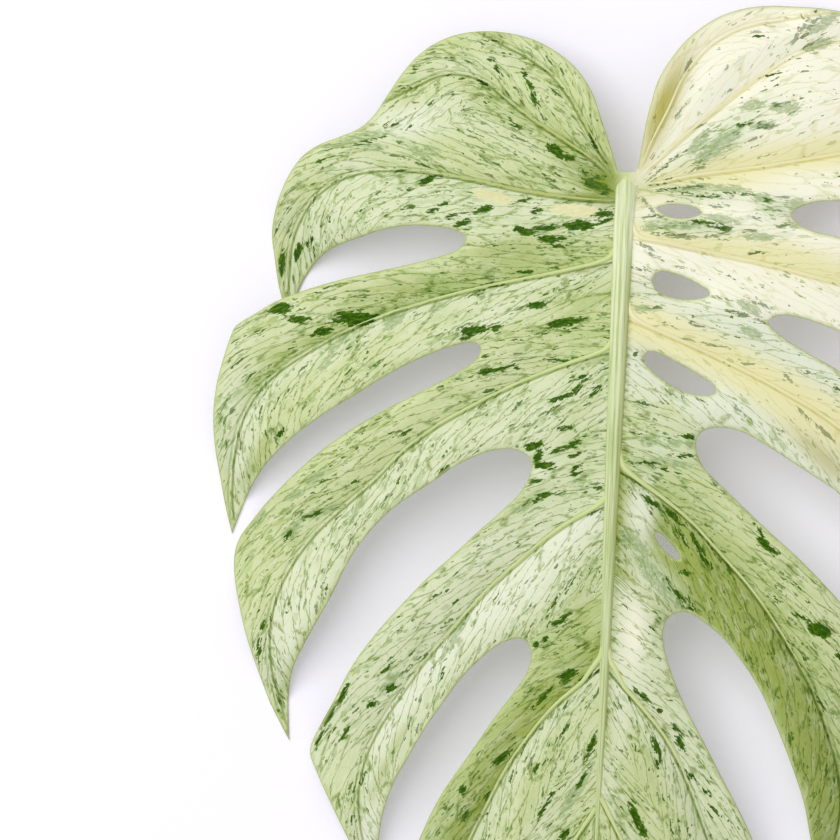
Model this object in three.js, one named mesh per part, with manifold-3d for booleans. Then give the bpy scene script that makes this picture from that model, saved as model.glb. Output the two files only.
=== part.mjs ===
// A variegated monstera leaf, cut with a short stub of its stalk and lying face up on its lobe tips.
// Plan: X runs across the leaf, Y from the leaf's tip (low) to its base (high), Z is up.
// The numbers below are millimetres from the point where the stalk meets the blade.
import * as THREE from "three";
import Module from "manifold-3d";
import { mergeVertices } from "three/addons/utils/BufferGeometryUtils.js";

const BLADE_THICKNESS = 0.9;
const VEIN_SWELL_UNDER = 1.3;
const VEIN_SWELL_OVER = 0.4;
const ARCH_HEIGHT = 40;
const ARCH_MIDDLE_Y = -80;
const ARCH_HALF_WIDTH = 165;
const ARCH_TO_BASE = 175;
const ARCH_TO_TIP = 262;
const TIP_DROOP_REACH = 25;
const VALLEY_DEPTH = 5.5;
const VALLEY_REACH = 22;
const MARGIN_CURL = 2;
const MARGIN_STEP = 6.5;
const INNER_STEP = 11.5;
const MIDRIB_LENGTH = 316;
const MIDRIB_HALF_WIDTH = 3.75;
const STALK_RADIUS = 3.9;
const STALK_STUB_END_Z = 3;

// The margin goes once round the blade in stretches. A stretch starts and ends at a sharp point: the
// left side of the sinus, the tip of each lobe, the tip of the leaf and the right side of the sinus.
// Every stretch but the first and last runs up one slit, round its blind end and out along the next lobe.
const MARGIN = [
  [[-3.8, 1.7], [-6.3, 9.5], [-10.3, 20], [-14.5, 31], [-21, 40.2], [-30, 47], [-40, 51.3], [-52, 53],
    [-64, 51.7], [-73, 48.2], [-80, 43], [-86, 35.7], [-91, 27.5], [-95.6, 19.8], [-101, 14.3],
    [-109, 10.5], [-116, 7.5], [-122.5, 2.5], [-127.5, -5.5], [-131, -15.5], [-132.4, -26],
    [-131, -34.5], [-128.7, -41], [-124.8, -46]],
  [[-124.8, -46], [-121.7, -41.7], [-118.4, -38], [-113.5, -33.8], [-107, -30], [-99, -26.8],
    [-89, -23.2], [-79, -21.6], [-70, -21.7], [-63, -23], [-59.2, -25.8], [-62.5, -30.2],
    [-69, -32.8], [-80, -36.2], [-92, -39.4], [-104, -42.6], [-114, -45.8], [-122, -48.8],
    [-130, -52.4], [-137, -57], [-143.8, -61.6], [-146, -66], [-148.3, -74], [-150.5, -84],
    [-151.3, -95], [-150.3, -107], [-147.8, -119], [-145, -131], [-142.3, -140.2]],
  [[-142.3, -140.2], [-140, -133.5], [-136.5, -124], [-130.5, -113.5], [-121, -103], [-110, -94],
    [-99, -86.5], [-88, -79], [-78, -73], [-68, -68.2], [-60, -65.2], [-54.5, -64.4], [-51.9, -66.6],
    [-54, -71.2], [-59, -75], [-67, -79.8], [-78, -86], [-90, -93], [-101, -100.3], [-112, -109.2],
    [-121, -118], [-129, -127], [-135, -135], [-139, -141], [-140.9, -147], [-140.8, -155],
    [-138.6, -166], [-134.9, -179], [-130.3, -191], [-124.7, -204], [-117.2, -217.2]],
  [[-117.2, -217.2], [-117.9, -208], [-118.2, -200], [-117, -190], [-112.9, -180], [-107.9, -170],
    [-102.9, -160], [-98.6, -150], [-93.1, -140.5], [-85, -130.5], [-77.5, -124], [-69, -118],
    [-60, -111.2], [-50, -105.8], [-40, -103.4], [-33, -105.6], [-31, -110.5], [-34.3, -118.8],
    [-41, -126.3], [-50, -135], [-60, -145.2], [-68, -153], [-75, -161], [-82.6, -170], [-90, -180],
    [-96, -190], [-101, -201], [-105.8, -211], [-109.2, -220.5], [-105.8, -229.5], [-100.4, -240],
    [-94.5, -251], [-87.5, -264], [-79, -278]],
  [[-79, -278], [-81.2, -266], [-81.8, -255], [-80.6, -243], [-77.4, -231.5], [-72, -220.5],
    [-66.3, -209.5], [-60, -199.5], [-53.5, -189.8], [-45, -180.5], [-37.5, -175.2], [-31, -174.2],
    [-28, -179], [-29.2, -186.5], [-34.3, -195], [-41, -204.8], [-47.5, -215.5], [-53.5, -224.8],
    [-59.3, -234.5], [-64.3, -245.5], [-68, -257], [-69, -268], [-66.5, -280], [-61.5, -291],
    [-54.5, -302]],
  [[-54.5, -302], [-54, -293], [-50.8, -282], [-45.5, -272], [-39.5, -264], [-34.3, -260.5],
    [-32.6, -264.5], [-35.3, -274], [-38.8, -283], [-40, -291], [-37, -299], [-30, -306],
    [-20.5, -311.8], [-11.5, -316.6], [-5, -320.8], [-0.8, -327]],
  [[-0.8, -327], [3.6, -320.6], [10, -316], [19.5, -311], [29.5, -305], [36, -297.5], [38, -289],
    [35.8, -280], [32.4, -270], [30.4, -261], [32.6, -257.6], [37.8, -262.5], [43, -271],
    [47.3, -281], [50.2, -292], [50.8, -301.5]],
  [[50.8, -301.5], [57.8, -291.5], [62.8, -281.5], [65.2, -270.5], [63.6, -259], [59.2, -247.5],
    [53.2, -235.8], [46, -223.5], [37.6, -208.8], [29.9, -195.5], [23.6, -181.5], [20.8, -170.3],
    [22.9, -163.3], [29.2, -161.4], [36, -164.8], [43.9, -171], [52.3, -180.8], [59.3, -191.3],
    [65.6, -203.9], [71.4, -216.8], [76.8, -230.5], [80.2, -243.5], [82.4, -251.5], [83.9, -260],
    [84.6, -268.5]],
  [[84.6, -268.5], [91.8, -256], [98.8, -243], [105.2, -231], [110.6, -219], [113.4, -207.5],
    [111.6, -197], [107.6, -185.5], [102, -174.6], [95, -164.6], [87.5, -156], [80, -148.4],
    [70, -139.2], [60, -131], [50, -122.4], [40, -113.6], [32.8, -106.8], [29.8, -99.5],
    [31.5, -94.1], [38.5, -91.9], [48, -93.6], [58, -98.8], [66.7, -103.9], [76, -109.3],
    [84.5, -114.8], [93.8, -126], [100.8, -138], [106.5, -149.5], [111.6, -161.5], [116, -173.5],
    [118, -185], [117.8, -195], [116.6, -205.5]],
  [[116.6, -205.5], [124.6, -195], [131.4, -184], [137, -172], [140.8, -159], [141.8, -147],
    [139.5, -137], [134.5, -127.5], [128, -116], [120.5, -104], [111.5, -92.5], [101.5, -82.5],
    [91, -74], [80, -67.6], [68, -61.6], [58.7, -56], [54.8, -51.6], [60, -48.9], [68.7, -50],
    [77, -52.4], [87, -56], [98, -61.8], [110, -70], [120.5, -80], [129, -91.5], [135.6, -104],
    [139.8, -117], [141.6, -128.5]],
  [[141.6, -128.5], [147.2, -115], [150.8, -102], [152.6, -88], [151.5, -74], [148, -63.5],
    [142.5, -56], [135, -48.6], [126, -40.6], [115, -33], [103, -26.8], [91, -21.8], [80.5, -18.8],
    [72, -17.3], [65.4, -15], [61.7, -11.1], [65.6, -7.9], [72, -5.8], [79.9, -5.2], [89, -5.4],
    [100, -6.8], [112, -10.2], [123, -16.4], [132, -25.6], [137.2, -35.6], [139.4, -45.5]],
  [[139.4, -45.5], [143.7, -36.5], [146.4, -25], [147.6, -12], [146.5, 2], [143, 15.5],
    [137.5, 27], [129.5, 36.4], [121.5, 43.6], [113, 51.5], [103, 58.6], [91, 64], [79, 66.8],
    [69.5, 67.7], [60, 67.8], [50.8, 67.6], [40.7, 65.8], [30.5, 61.4], [21, 53.8], [14.4, 45.2],
    [10, 37], [7.9, 29.5], [6.1, 21.2], [4.4, 9.5], [3.5, 2]],
];

// Four closed holes to the right of the midrib.
const HOLES = [
  [[11.2, -11.4], [14.4, -9.9], [19.8, -9.6], [25, -10.2], [28.3, -12], [24.8, -13.9], [19.8, -14.6],
    [14.4, -13.6]],
  [[10.8, -38], [12.6, -35.3], [16.5, -34.8], [23.3, -36.8], [29, -39.5], [32.7, -42], [29.4, -44],
    [23.3, -44.8], [16.5, -43.9], [12.2, -41.6]],
  [[8.5, -67.1], [11, -64.8], [15.7, -65.8], [23, -69.2], [30.7, -73.3], [35.6, -76.4], [36, -79.4],
    [31, -80.2], [23, -78.8], [15, -74.2], [10.4, -70.4]],
  [[15.9, -133], [17.2, -131.9], [20.3, -134.2], [24, -138], [25.9, -141], [24.6, -142],
    [21, -139.7], [17.6, -136.2]],
];

// The side veins, each from the midrib to the end of its lobe. The blade dips into a valley along them.
const SIDE_VEINS = [
  [[-3, -2], [-11, 10], [-17, 20], [-22.5, 29], [-29, 37], [-37, 43], [-47, 48]],
  [[-3, -3], [-12, 5], [-22, 11.5], [-35, 19.5], [-44, 26], [-53, 33], [-62, 36.6], [-72, 36],
    [-82, 31]],
  [[-3, -9], [-15, -9], [-30, -7.8], [-45, -5.6], [-60, -3], [-75, -1], [-90, -0.6], [-102, -2.6],
    [-112, -7.5], [-120, -16], [-125, -28], [-126, -38]],
  [[-3, -31], [-12, -33.3], [-25, -36.8], [-40, -40.4], [-55, -44.2], [-70, -48.8], [-85, -54],
    [-100, -60.5], [-114, -68.5], [-126, -76.8], [-135, -86], [-141, -98], [-143.5, -112],
    [-143.8, -126], [-142.8, -134]],
  [[-3, -65], [-12, -67.8], [-25, -73], [-40, -80], [-55, -88.4], [-68, -96.6], [-80, -106.6],
    [-90, -117.5], [-100, -127], [-110, -137], [-118, -148], [-124, -160], [-127, -174],
    [-126, -190], [-121.5, -205]],
  [[-3, -122.5], [-12, -127], [-22, -134], [-34, -145], [-46, -157], [-57, -170.5], [-67, -183],
    [-75.5, -196], [-83, -208.5], [-88.5, -221], [-91, -235], [-89.5, -250], [-85, -264]],
  [[-2, -182.5], [-9, -189.5], [-19, -199], [-28, -211], [-36, -224], [-43, -239], [-49.5, -254],
    [-54, -268], [-56, -283], [-55.4, -293]],
  [[-1, -236], [-7, -246], [-13.5, -258], [-20, -271], [-25.5, -284], [-28, -297]],
  [[3, 0], [8, 13], [14, 26], [20, 40], [29, 51.5], [41, 59], [56, 63]],
  [[3, -1], [16, 12], [30, 25], [45, 38], [60, 49], [76, 56], [93, 57], [108, 50]],
  [[3, -4], [12, -1.5], [25, 1.8], [40, 4.6], [55, 7.4], [70, 10.8], [84, 13.6], [98, 14], [112, 11],
    [124, 3.6], [133, -8], [138.5, -22], [140, -35]],
  [[3, -22.5], [12, -23.6], [25, -25.6], [40, -28], [55, -30.4], [70, -33.6], [84, -36.8], [98, -42],
    [112, -49.5], [124, -58.5], [134, -69.5], [141, -82.5], [144.3, -97], [144, -112], [142.4, -122]],
  [[3, -53], [12, -56.3], [22, -60], [34, -64.8], [48, -70.8], [62, -77.5], [76, -85], [89, -94],
    [101, -104.5], [111.5, -117], [120.5, -131], [126.5, -146], [128.5, -162], [126, -178],
    [121, -192]],
  [[2.5, -109.5], [9, -113], [19, -119.5], [30, -128], [41, -139], [52, -150.3], [62, -163],
    [71, -176.5], [79, -190], [85.5, -205], [90.5, -220], [92, -235], [89.8, -250], [87.2, -258]],
  [[1, -183.5], [7, -190], [16, -199.5], [25, -210.5], [32.5, -224], [39.5, -240], [46, -256],
    [50.5, -272], [52.3, -287]],
  [[0.5, -232], [6, -242], [12.5, -254.5], [18.5, -268], [23.5, -282], [26, -295]],
];

const wasm = await Module();
wasm.setup();

function curvePoints(points, step) {
  const curve = new THREE.SplineCurve(points.map(([x, y]) => new THREE.Vector2(x, y)));
  return curve.getSpacedPoints(Math.max(2, Math.round(curve.getLength() / step)));
}

const margin = MARGIN.flatMap((stretch, i) => {
  const points = curvePoints(stretch, MARGIN_STEP);
  return i === MARGIN.length - 1 ? points : points.slice(0, -1);
});
const holes = HOLES.map((hole) => curvePoints([...hole, hole[0]], MARGIN_STEP * 0.6).slice(0, -1));
const veins = SIDE_VEINS.map((vein) => curvePoints(vein, 9));
const lobeTips = MARGIN.slice(1).map(([tip]) => tip);

function gapToLine(point, line, closed) {
  let best = Infinity;
  for (let i = closed ? 0 : 1; i < line.length; i += 1) {
    const a = line[i === 0 ? line.length - 1 : i - 1];
    const b = line[i];
    const along = b.clone().sub(a);
    const t = THREE.MathUtils.clamp(point.clone().sub(a).dot(along) / along.lengthSq(), 0, 1);
    best = Math.min(best, a.clone().addScaledVector(along, t).distanceTo(point));
  }
  return best;
}

// The end of the first lobe on the left is the only part that passes under its neighbour.
function onTuckedLobe(x, y) {
  return x < -98 && y > -41.1 + 0.351 * (x + 104);
}

function archHeight(x, y) {
  const along = (y - ARCH_MIDDLE_Y) / (y > ARCH_MIDDLE_Y ? ARCH_TO_BASE : ARCH_TO_TIP);
  const left = 1 - (x / ARCH_HALF_WIDTH) ** 2 - along ** 2;
  return ARCH_HEIGHT * Math.max(left, 0) ** 0.8;
}

// Height of the blade's underside over the surface it lies on.
function underside(point) {
  const { x, y } = point;
  let z = archHeight(x, y);
  for (const [i, [tipX, tipY]] of lobeTips.entries()) {
    const near = Math.exp(-(((x - tipX) ** 2 + (y - tipY) ** 2) / TIP_DROOP_REACH ** 2));
    if (i > 0 || onTuckedLobe(x, y)) z -= (archHeight(tipX, tipY) + 1) * near;
  }
  const vein = Math.min(...veins.map((line) => gapToLine(point, line, false)));
  const fromMidrib = THREE.MathUtils.smoothstep(Math.abs(x), 4, 45);
  z -= VALLEY_DEPTH * fromMidrib * (1 - Math.min(vein / VALLEY_REACH, 1)) ** 2;
  const edge = Math.min(gapToLine(point, margin, true), ...holes.map((hole) => gapToLine(point, hole, true)));
  z -= MARGIN_CURL * THREE.MathUtils.smoothstep(Math.hypot(x, y), 8, 50) * Math.exp(-edge / 4);
  return Math.max(z, 0);
}

// Points inside the blade: a row along every side vein, and a staggered net in between.
function innerPoints() {
  const clear = (p, gap) => gapToLine(p, margin, true) > gap
    && holes.every((hole) => gapToLine(p, hole, true) > gap);
  const inside = (p, loop) => {
    let odd = false;
    loop.forEach((b, i) => {
      const a = loop[i === 0 ? loop.length - 1 : i - 1];
      if (a.y > p.y !== b.y > p.y && p.x < a.x + ((p.y - a.y) / (b.y - a.y)) * (b.x - a.x)) odd = !odd;
    });
    return odd;
  };
  const points = [];
  const take = (p, gap) => {
    if (clear(p, gap) && points.every((q) => q.distanceTo(p) > gap * 1.4)) points.push(p);
  };
  veins.flat().forEach((p) => inside(p, margin) && take(p, 3));
  const onVeins = points.length;
  for (let row = 0; row * INNER_STEP * 0.866 < 400; row += 1) {
    for (let column = 0; column < 28; column += 1) {
      const x = -160.3 + INNER_STEP * (column + (row % 2) / 2);
      const p = new THREE.Vector2(x, -329.7 + row * INNER_STEP * 0.866);
      if (inside(p, margin) && !holes.some((hole) => inside(p, hole))) take(p, 4.6);
    }
  }
  return { points, onVeins };
}

// Joins the margin, the holes and the points inside into one net of even triangles.
function sheetTriangles(loops, points) {
  const corners = [...loops.flat(), ...points];
  const turn = (a, b, c) => (b.x - a.x) * (c.y - a.y) - (b.y - a.y) * (c.x - a.x);
  const faces = THREE.ShapeUtils.triangulateShape(loops[0], loops.slice(1))
    .map(([a, b, c]) => (turn(corners[a], corners[b], corners[c]) > 0 ? [a, b, c] : [a, c, b]));
  for (let p = corners.length - points.length; p < corners.length; p += 1) {
    const home = faces.findIndex((face) => face.every((a, k) =>
      turn(corners[a], corners[face[(k + 1) % 3]], corners[p]) >= 0));
    const [a, b, c] = faces[home];
    faces.splice(home, 1, [a, b, p], [b, c, p], [c, a, p]);
  }
  for (let pass = 0, swaps = 1; swaps > 0 && pass < 200; pass += 1) {
    swaps = 0;
    const sides = new Map();
    faces.forEach((face, f) => face.forEach((a, k) => sides.set(`${a} ${face[(k + 1) % 3]}`, [f, k])));
    const touched = new Set();
    for (const [f, k] of sides.values()) {
      const [a, b, c] = [0, 1, 2].map((n) => faces[f][(k + n) % 3]);
      const other = sides.get(`${b} ${a}`);
      if (!other || touched.has(f) || touched.has(other[0])) continue;
      const d = faces[other[0]][(other[1] + 2) % 3];
      const [A, B, C, D] = [a, b, c, d].map((n) => corners[n]);
      const angleAt = (p, q, r) => q.clone().sub(p).angleTo(r.clone().sub(p));
      if (angleAt(C, A, B) + angleAt(D, A, B) < Math.PI + 1e-6) continue;
      if (turn(C, A, D) <= 1e-6 || turn(D, B, C) <= 1e-6) continue;
      faces[f] = [a, d, c];
      faces[other[0]] = [d, b, c];
      touched.add(f).add(other[0]);
      swaps += 1;
    }
  }
  return { corners, faces };
}

function toSolid(geometry) {
  const bare = geometry.clone();
  bare.deleteAttribute("normal");
  bare.deleteAttribute("uv");
  const joined = mergeVertices(bare, 1e-4);
  return new wasm.Manifold(new wasm.Mesh({
    numProp: 3,
    vertProperties: Float32Array.from(joined.attributes.position.array),
    triVerts: Uint32Array.from(joined.index.array),
  }));
}

// The last part of the tucked lobe is drawn out downwards, under the edge of the lobe below it.
function tuck(x, y) {
  return onTuckedLobe(x, y) && y < -30 ? y - 0.049 * (-30 - y) ** 2 : y;
}

function blade() {
  const { points, onVeins } = innerPoints();
  const { corners, faces } = sheetTriangles([margin, ...holes], points);
  const firstVein = corners.length - points.length;
  const top = [];
  const bottom = [];
  corners.forEach((corner, i) => {
    const z = underside(corner);
    const swell = i >= firstVein && i < firstVein + onVeins ? 1 - 0.6 * Math.min(gapFromBase(corner) / 300, 1) : 0;
    const y = tuck(corner.x, corner.y);
    bottom.push(corner.x, y, Math.max(z - VEIN_SWELL_UNDER * swell, 0));
    top.push(corner.x, y, z + BLADE_THICKNESS + VEIN_SWELL_OVER * swell);
  });
  const index = [];
  const lone = new Set();
  faces.forEach(([a, b, c]) => {
    index.push(a, b, c, a + corners.length, c + corners.length, b + corners.length);
    [[a, b], [b, c], [c, a]].forEach(([p, q]) => {
      if (!lone.delete(`${q} ${p}`)) lone.add(`${p} ${q}`);
    });
  });
  lone.forEach((side) => {
    const [p, q] = side.split(" ").map(Number);
    index.push(p, p + corners.length, q + corners.length, p, q + corners.length, q);
  });
  const geometry = new THREE.BufferGeometry();
  geometry.setAttribute("position", new THREE.Float32BufferAttribute([...top, ...bottom], 3));
  geometry.setIndex(index);
  return toSolid(geometry);
}

function gapFromBase(point) {
  return Math.hypot(point.x, point.y);
}

// The midrib: widest at the stalk, worn down to nothing at the leaf's tip. At the stalk it turns down
// through a knee and goes on as the short stub of the stalk, which stops just clear of the surface.
function midrib() {
  const ridge = (y) => new THREE.Vector3(-0.4, y, underside(new THREE.Vector2(-0.4, y)));
  const kneeZ = ridge(-10).z;
  const path = new THREE.CatmullRomCurve3([
    new THREE.Vector3(0, -7.5, STALK_STUB_END_Z),
    new THREE.Vector3(0, -4.6, kneeZ * 0.35),
    new THREE.Vector3(0, -2.7, kneeZ * 0.66),
    new THREE.Vector3(0, -3.4, kneeZ - 4.2),
    new THREE.Vector3(-0.1, -8.2, kneeZ - 1.1),
    ...[18, 32, 50, 75, 100, 130, 160, 190, 220, 250, 275, 298, MIDRIB_LENGTH].map((y) => ridge(-y)),
  ], false, "centripetal");
  const sides = 12;
  const rings = 52;
  const tube = new THREE.CylinderGeometry(1, 1, 1, sides, rings);
  const position = tube.attributes.position;
  const frames = [...Array(rings + 1).keys()].map((i) => {
    const t = path.getUtoTmapping(i / rings);
    const at = path.getPoint(t);
    const ahead = path.getTangent(t);
    const across = new THREE.Vector3(1, 0, 0);
    const up = new THREE.Vector3().crossVectors(across, ahead).normalize();
    const taper = Math.max(1 - (Math.max(-at.y, 0) / 285) ** 1.3, 0);
    const onStalk = THREE.MathUtils.smoothstep(at.z, kneeZ - 12, kneeZ - 3);
    const wide = THREE.MathUtils.lerp(STALK_RADIUS, 0.45 + (MIDRIB_HALF_WIDTH - 0.45) * taper, onStalk);
    return { at, up, across, wide, deep: wide * THREE.MathUtils.lerp(1, 1.05, onStalk) };
  });
  for (let i = 0; i < position.count; i += 1) {
    const { at, up, across, wide, deep } = frames[Math.round((position.getY(i) + 0.5) * rings)];
    const p = at.clone().addScaledVector(across, position.getX(i) * wide)
      .addScaledVector(up, position.getZ(i) * deep);
    position.setXYZ(i, p.x, p.y, Math.max(p.z, 0.15));
  }
  return toSolid(tube);
}

function toGeometry(solid) {
  const mesh = solid.getMesh();
  const geometry = new THREE.BufferGeometry();
  geometry.setAttribute("position", new THREE.BufferAttribute(mesh.vertProperties, 3));
  geometry.setIndex(new THREE.BufferAttribute(mesh.triVerts, 1));
  geometry.computeBoundingBox();
  const { min, max } = geometry.boundingBox;
  geometry.translate(-(min.x + max.x) / 2, -(min.y + max.y) / 2, -min.z);
  geometry.computeVertexNormals();
  return geometry;
}

const leaf = new THREE.Mesh(toGeometry(blade().add(midrib())), new THREE.MeshStandardMaterial());
leaf.name = "leaf";
const part = new THREE.Group();
part.add(leaf);

export default part;
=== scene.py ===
import heapq
import math

import bpy
import numpy as np
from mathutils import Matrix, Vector
from mathutils.geometry import delaunay_2d_cdt


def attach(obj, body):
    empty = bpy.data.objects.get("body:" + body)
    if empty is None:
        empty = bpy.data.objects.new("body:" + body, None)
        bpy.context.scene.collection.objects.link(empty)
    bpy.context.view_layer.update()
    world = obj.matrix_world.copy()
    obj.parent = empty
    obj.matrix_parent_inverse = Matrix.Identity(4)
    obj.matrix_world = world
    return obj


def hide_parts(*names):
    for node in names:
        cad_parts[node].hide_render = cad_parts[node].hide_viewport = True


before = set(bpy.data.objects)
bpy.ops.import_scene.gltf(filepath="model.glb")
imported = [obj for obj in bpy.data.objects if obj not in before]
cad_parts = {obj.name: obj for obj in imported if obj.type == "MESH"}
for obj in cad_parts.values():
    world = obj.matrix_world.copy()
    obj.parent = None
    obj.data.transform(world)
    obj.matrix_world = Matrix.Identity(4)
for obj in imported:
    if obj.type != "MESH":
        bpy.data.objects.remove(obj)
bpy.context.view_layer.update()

# ---- The outline of the blade -------------------------------------------------------------------
# One grown leaf of a variegated monstera. Plan sizes are millimetres from the joint of stalk and
# blade: X runs across the leaf, Y from its tip (low) to its base (high). The outline goes round in
# stretches that start and end at sharp points, which are the lobe tips and the sides of the sinus.
OUTLINE = [
    [(-3.8, 1.7), (-6.3, 9.5), (-10.3, 20), (-14.5, 31), (-21, 40.2), (-30, 47), (-40, 51.3),
     (-52, 53), (-64, 51.7), (-73, 48.2), (-80, 43), (-86, 35.7), (-91, 27.5), (-95.6, 19.8),
     (-101, 14.3), (-109, 10.5), (-116, 7.5), (-122.5, 2.5), (-127.5, -5.5), (-131, -15.5),
     (-132.4, -26), (-131, -34.5), (-128.7, -41), (-124.8, -46)],
    [(-124.8, -46), (-121.7, -41.7), (-118.4, -38), (-113.5, -33.8), (-107, -30), (-99, -26.8),
     (-89, -23.2), (-79, -21.6), (-70, -21.7), (-63, -23), (-59.2, -25.8), (-62.5, -30.2),
     (-69, -32.8), (-80, -36.2), (-92, -39.4), (-104, -42.6), (-114, -45.8), (-122, -48.8),
     (-130, -52.4), (-137, -57), (-143.8, -61.6), (-146, -66), (-148.3, -74), (-150.5, -84),
     (-151.3, -95), (-150.3, -107), (-147.8, -119), (-145, -131), (-142.3, -140.2)],
    [(-142.3, -140.2), (-140, -133.5), (-136.5, -124), (-130.5, -113.5), (-121, -103), (-110, -94),
     (-99, -86.5), (-88, -79), (-78, -73), (-68, -68.2), (-60, -65.2), (-54.5, -64.4),
     (-51.9, -66.6), (-54, -71.2), (-59, -75), (-67, -79.8), (-78, -86), (-90, -93),
     (-101, -100.3), (-112, -109.2), (-121, -118), (-129, -127), (-135, -135), (-139, -141),
     (-140.9, -147), (-140.8, -155), (-138.6, -166), (-134.9, -179), (-130.3, -191),
     (-124.7, -204), (-117.2, -217.2)],
    [(-117.2, -217.2), (-117.9, -208), (-118.2, -200), (-117, -190), (-112.9, -180),
     (-107.9, -170), (-102.9, -160), (-98.6, -150), (-93.1, -140.5), (-85, -130.5), (-77.5, -124),
     (-69, -118), (-60, -111.2), (-50, -105.8), (-40, -103.4), (-33, -105.6), (-31, -110.5),
     (-34.3, -118.8), (-41, -126.3), (-50, -135), (-60, -145.2), (-68, -153), (-75, -161),
     (-82.6, -170), (-90, -180), (-96, -190), (-101, -201), (-105.8, -211), (-109.2, -220.5),
     (-105.8, -229.5), (-100.4, -240), (-94.5, -251), (-87.5, -264), (-79, -278)],
    [(-79, -278), (-81.2, -266), (-81.8, -255), (-80.6, -243), (-77.4, -231.5), (-72, -220.5),
     (-66.3, -209.5), (-60, -199.5), (-53.5, -189.8), (-45, -180.5), (-37.5, -175.2),
     (-31, -174.2), (-28, -179), (-29.2, -186.5), (-34.3, -195), (-41, -204.8), (-47.5, -215.5),
     (-53.5, -224.8), (-59.3, -234.5), (-64.3, -245.5), (-68, -257), (-69, -268), (-66.5, -280),
     (-61.5, -291), (-54.5, -302)],
    [(-54.5, -302), (-54, -293), (-50.8, -282), (-45.5, -272), (-39.5, -264), (-34.3, -260.5),
     (-32.6, -264.5), (-35.3, -274), (-38.8, -283), (-40, -291), (-37, -299), (-30, -306),
     (-20.5, -311.8), (-11.5, -316.6), (-5, -320.8), (-0.8, -327)],
    [(-0.8, -327), (3.6, -320.6), (10, -316), (19.5, -311), (29.5, -305), (36, -297.5), (38, -289),
     (35.8, -280), (32.4, -270), (30.4, -261), (32.6, -257.6), (37.8, -262.5), (43, -271),
     (47.3, -281), (50.2, -292), (50.8, -301.5)],
    [(50.8, -301.5), (57.8, -291.5), (62.8, -281.5), (65.2, -270.5), (63.6, -259), (59.2, -247.5),
     (53.2, -235.8), (46, -223.5), (37.6, -208.8), (29.9, -195.5), (23.6, -181.5), (20.8, -170.3),
     (22.9, -163.3), (29.2, -161.4), (36, -164.8), (43.9, -171), (52.3, -180.8), (59.3, -191.3),
     (65.6, -203.9), (71.4, -216.8), (76.8, -230.5), (80.2, -243.5), (82.4, -251.5), (83.9, -260),
     (84.6, -268.5)],
    [(84.6, -268.5), (91.8, -256), (98.8, -243), (105.2, -231), (110.6, -219), (113.4, -207.5),
     (111.6, -197), (107.6, -185.5), (102, -174.6), (95, -164.6), (87.5, -156), (80, -148.4),
     (70, -139.2), (60, -131), (50, -122.4), (40, -113.6), (32.8, -106.8), (29.8, -99.5),
     (31.5, -94.1), (38.5, -91.9), (48, -93.6), (58, -98.8), (66.7, -103.9), (76, -109.3),
     (84.5, -114.8), (93.8, -126), (100.8, -138), (106.5, -149.5), (111.6, -161.5), (116, -173.5),
     (118, -185), (117.8, -195), (116.6, -205.5)],
    [(116.6, -205.5), (124.6, -195), (131.4, -184), (137, -172), (140.8, -159), (141.8, -147),
     (139.5, -137), (134.5, -127.5), (128, -116), (120.5, -104), (111.5, -92.5), (101.5, -82.5),
     (91, -74), (80, -67.6), (68, -61.6), (58.7, -56), (54.8, -51.6), (60, -48.9), (68.7, -50),
     (77, -52.4), (87, -56), (98, -61.8), (110, -70), (120.5, -80), (129, -91.5), (135.6, -104),
     (139.8, -117), (141.6, -128.5)],
    [(141.6, -128.5), (147.2, -115), (150.8, -102), (152.6, -88), (151.5, -74), (148, -63.5),
     (142.5, -56), (135, -48.6), (126, -40.6), (115, -33), (103, -26.8), (91, -21.8),
     (80.5, -18.8), (72, -17.3), (65.4, -15), (61.7, -11.1), (65.6, -7.9), (72, -5.8),
     (79.9, -5.2), (89, -5.4), (100, -6.8), (112, -10.2), (123, -16.4), (132, -25.6),
     (137.2, -35.6), (139.4, -45.5)],
    [(139.4, -45.5), (143.7, -36.5), (146.4, -25), (147.6, -12), (146.5, 2), (143, 15.5),
     (137.5, 27), (129.5, 36.4), (121.5, 43.6), (113, 51.5), (103, 58.6), (91, 64), (79, 66.8),
     (69.5, 67.7), (60, 67.8), (50.8, 67.6), (40.7, 65.8), (30.5, 61.4), (21, 53.8), (14.4, 45.2),
     (10, 37), (7.9, 29.5), (6.1, 21.2), (4.4, 9.5), (3.5, 2)],
]

# Four closed holes to the right of the midrib.
HOLES = [
    [(11.2, -11.4), (14.4, -9.9), (19.8, -9.6), (25, -10.2), (28.3, -12), (24.8, -13.9),
     (19.8, -14.6), (14.4, -13.6)],
    [(10.8, -38), (12.6, -35.3), (16.5, -34.8), (23.3, -36.8), (29, -39.5), (32.7, -42),
     (29.4, -44), (23.3, -44.8), (16.5, -43.9), (12.2, -41.6)],
    [(8.5, -67.1), (11, -64.8), (15.7, -65.8), (23, -69.2), (30.7, -73.3), (35.6, -76.4),
     (36, -79.4), (31, -80.2), (23, -78.8), (15, -74.2), (10.4, -70.4)],
    [(15.9, -133), (17.2, -131.9), (20.3, -134.2), (24, -138), (25.9, -141), (24.6, -142),
     (21, -139.7), (17.6, -136.2)],
]

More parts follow.
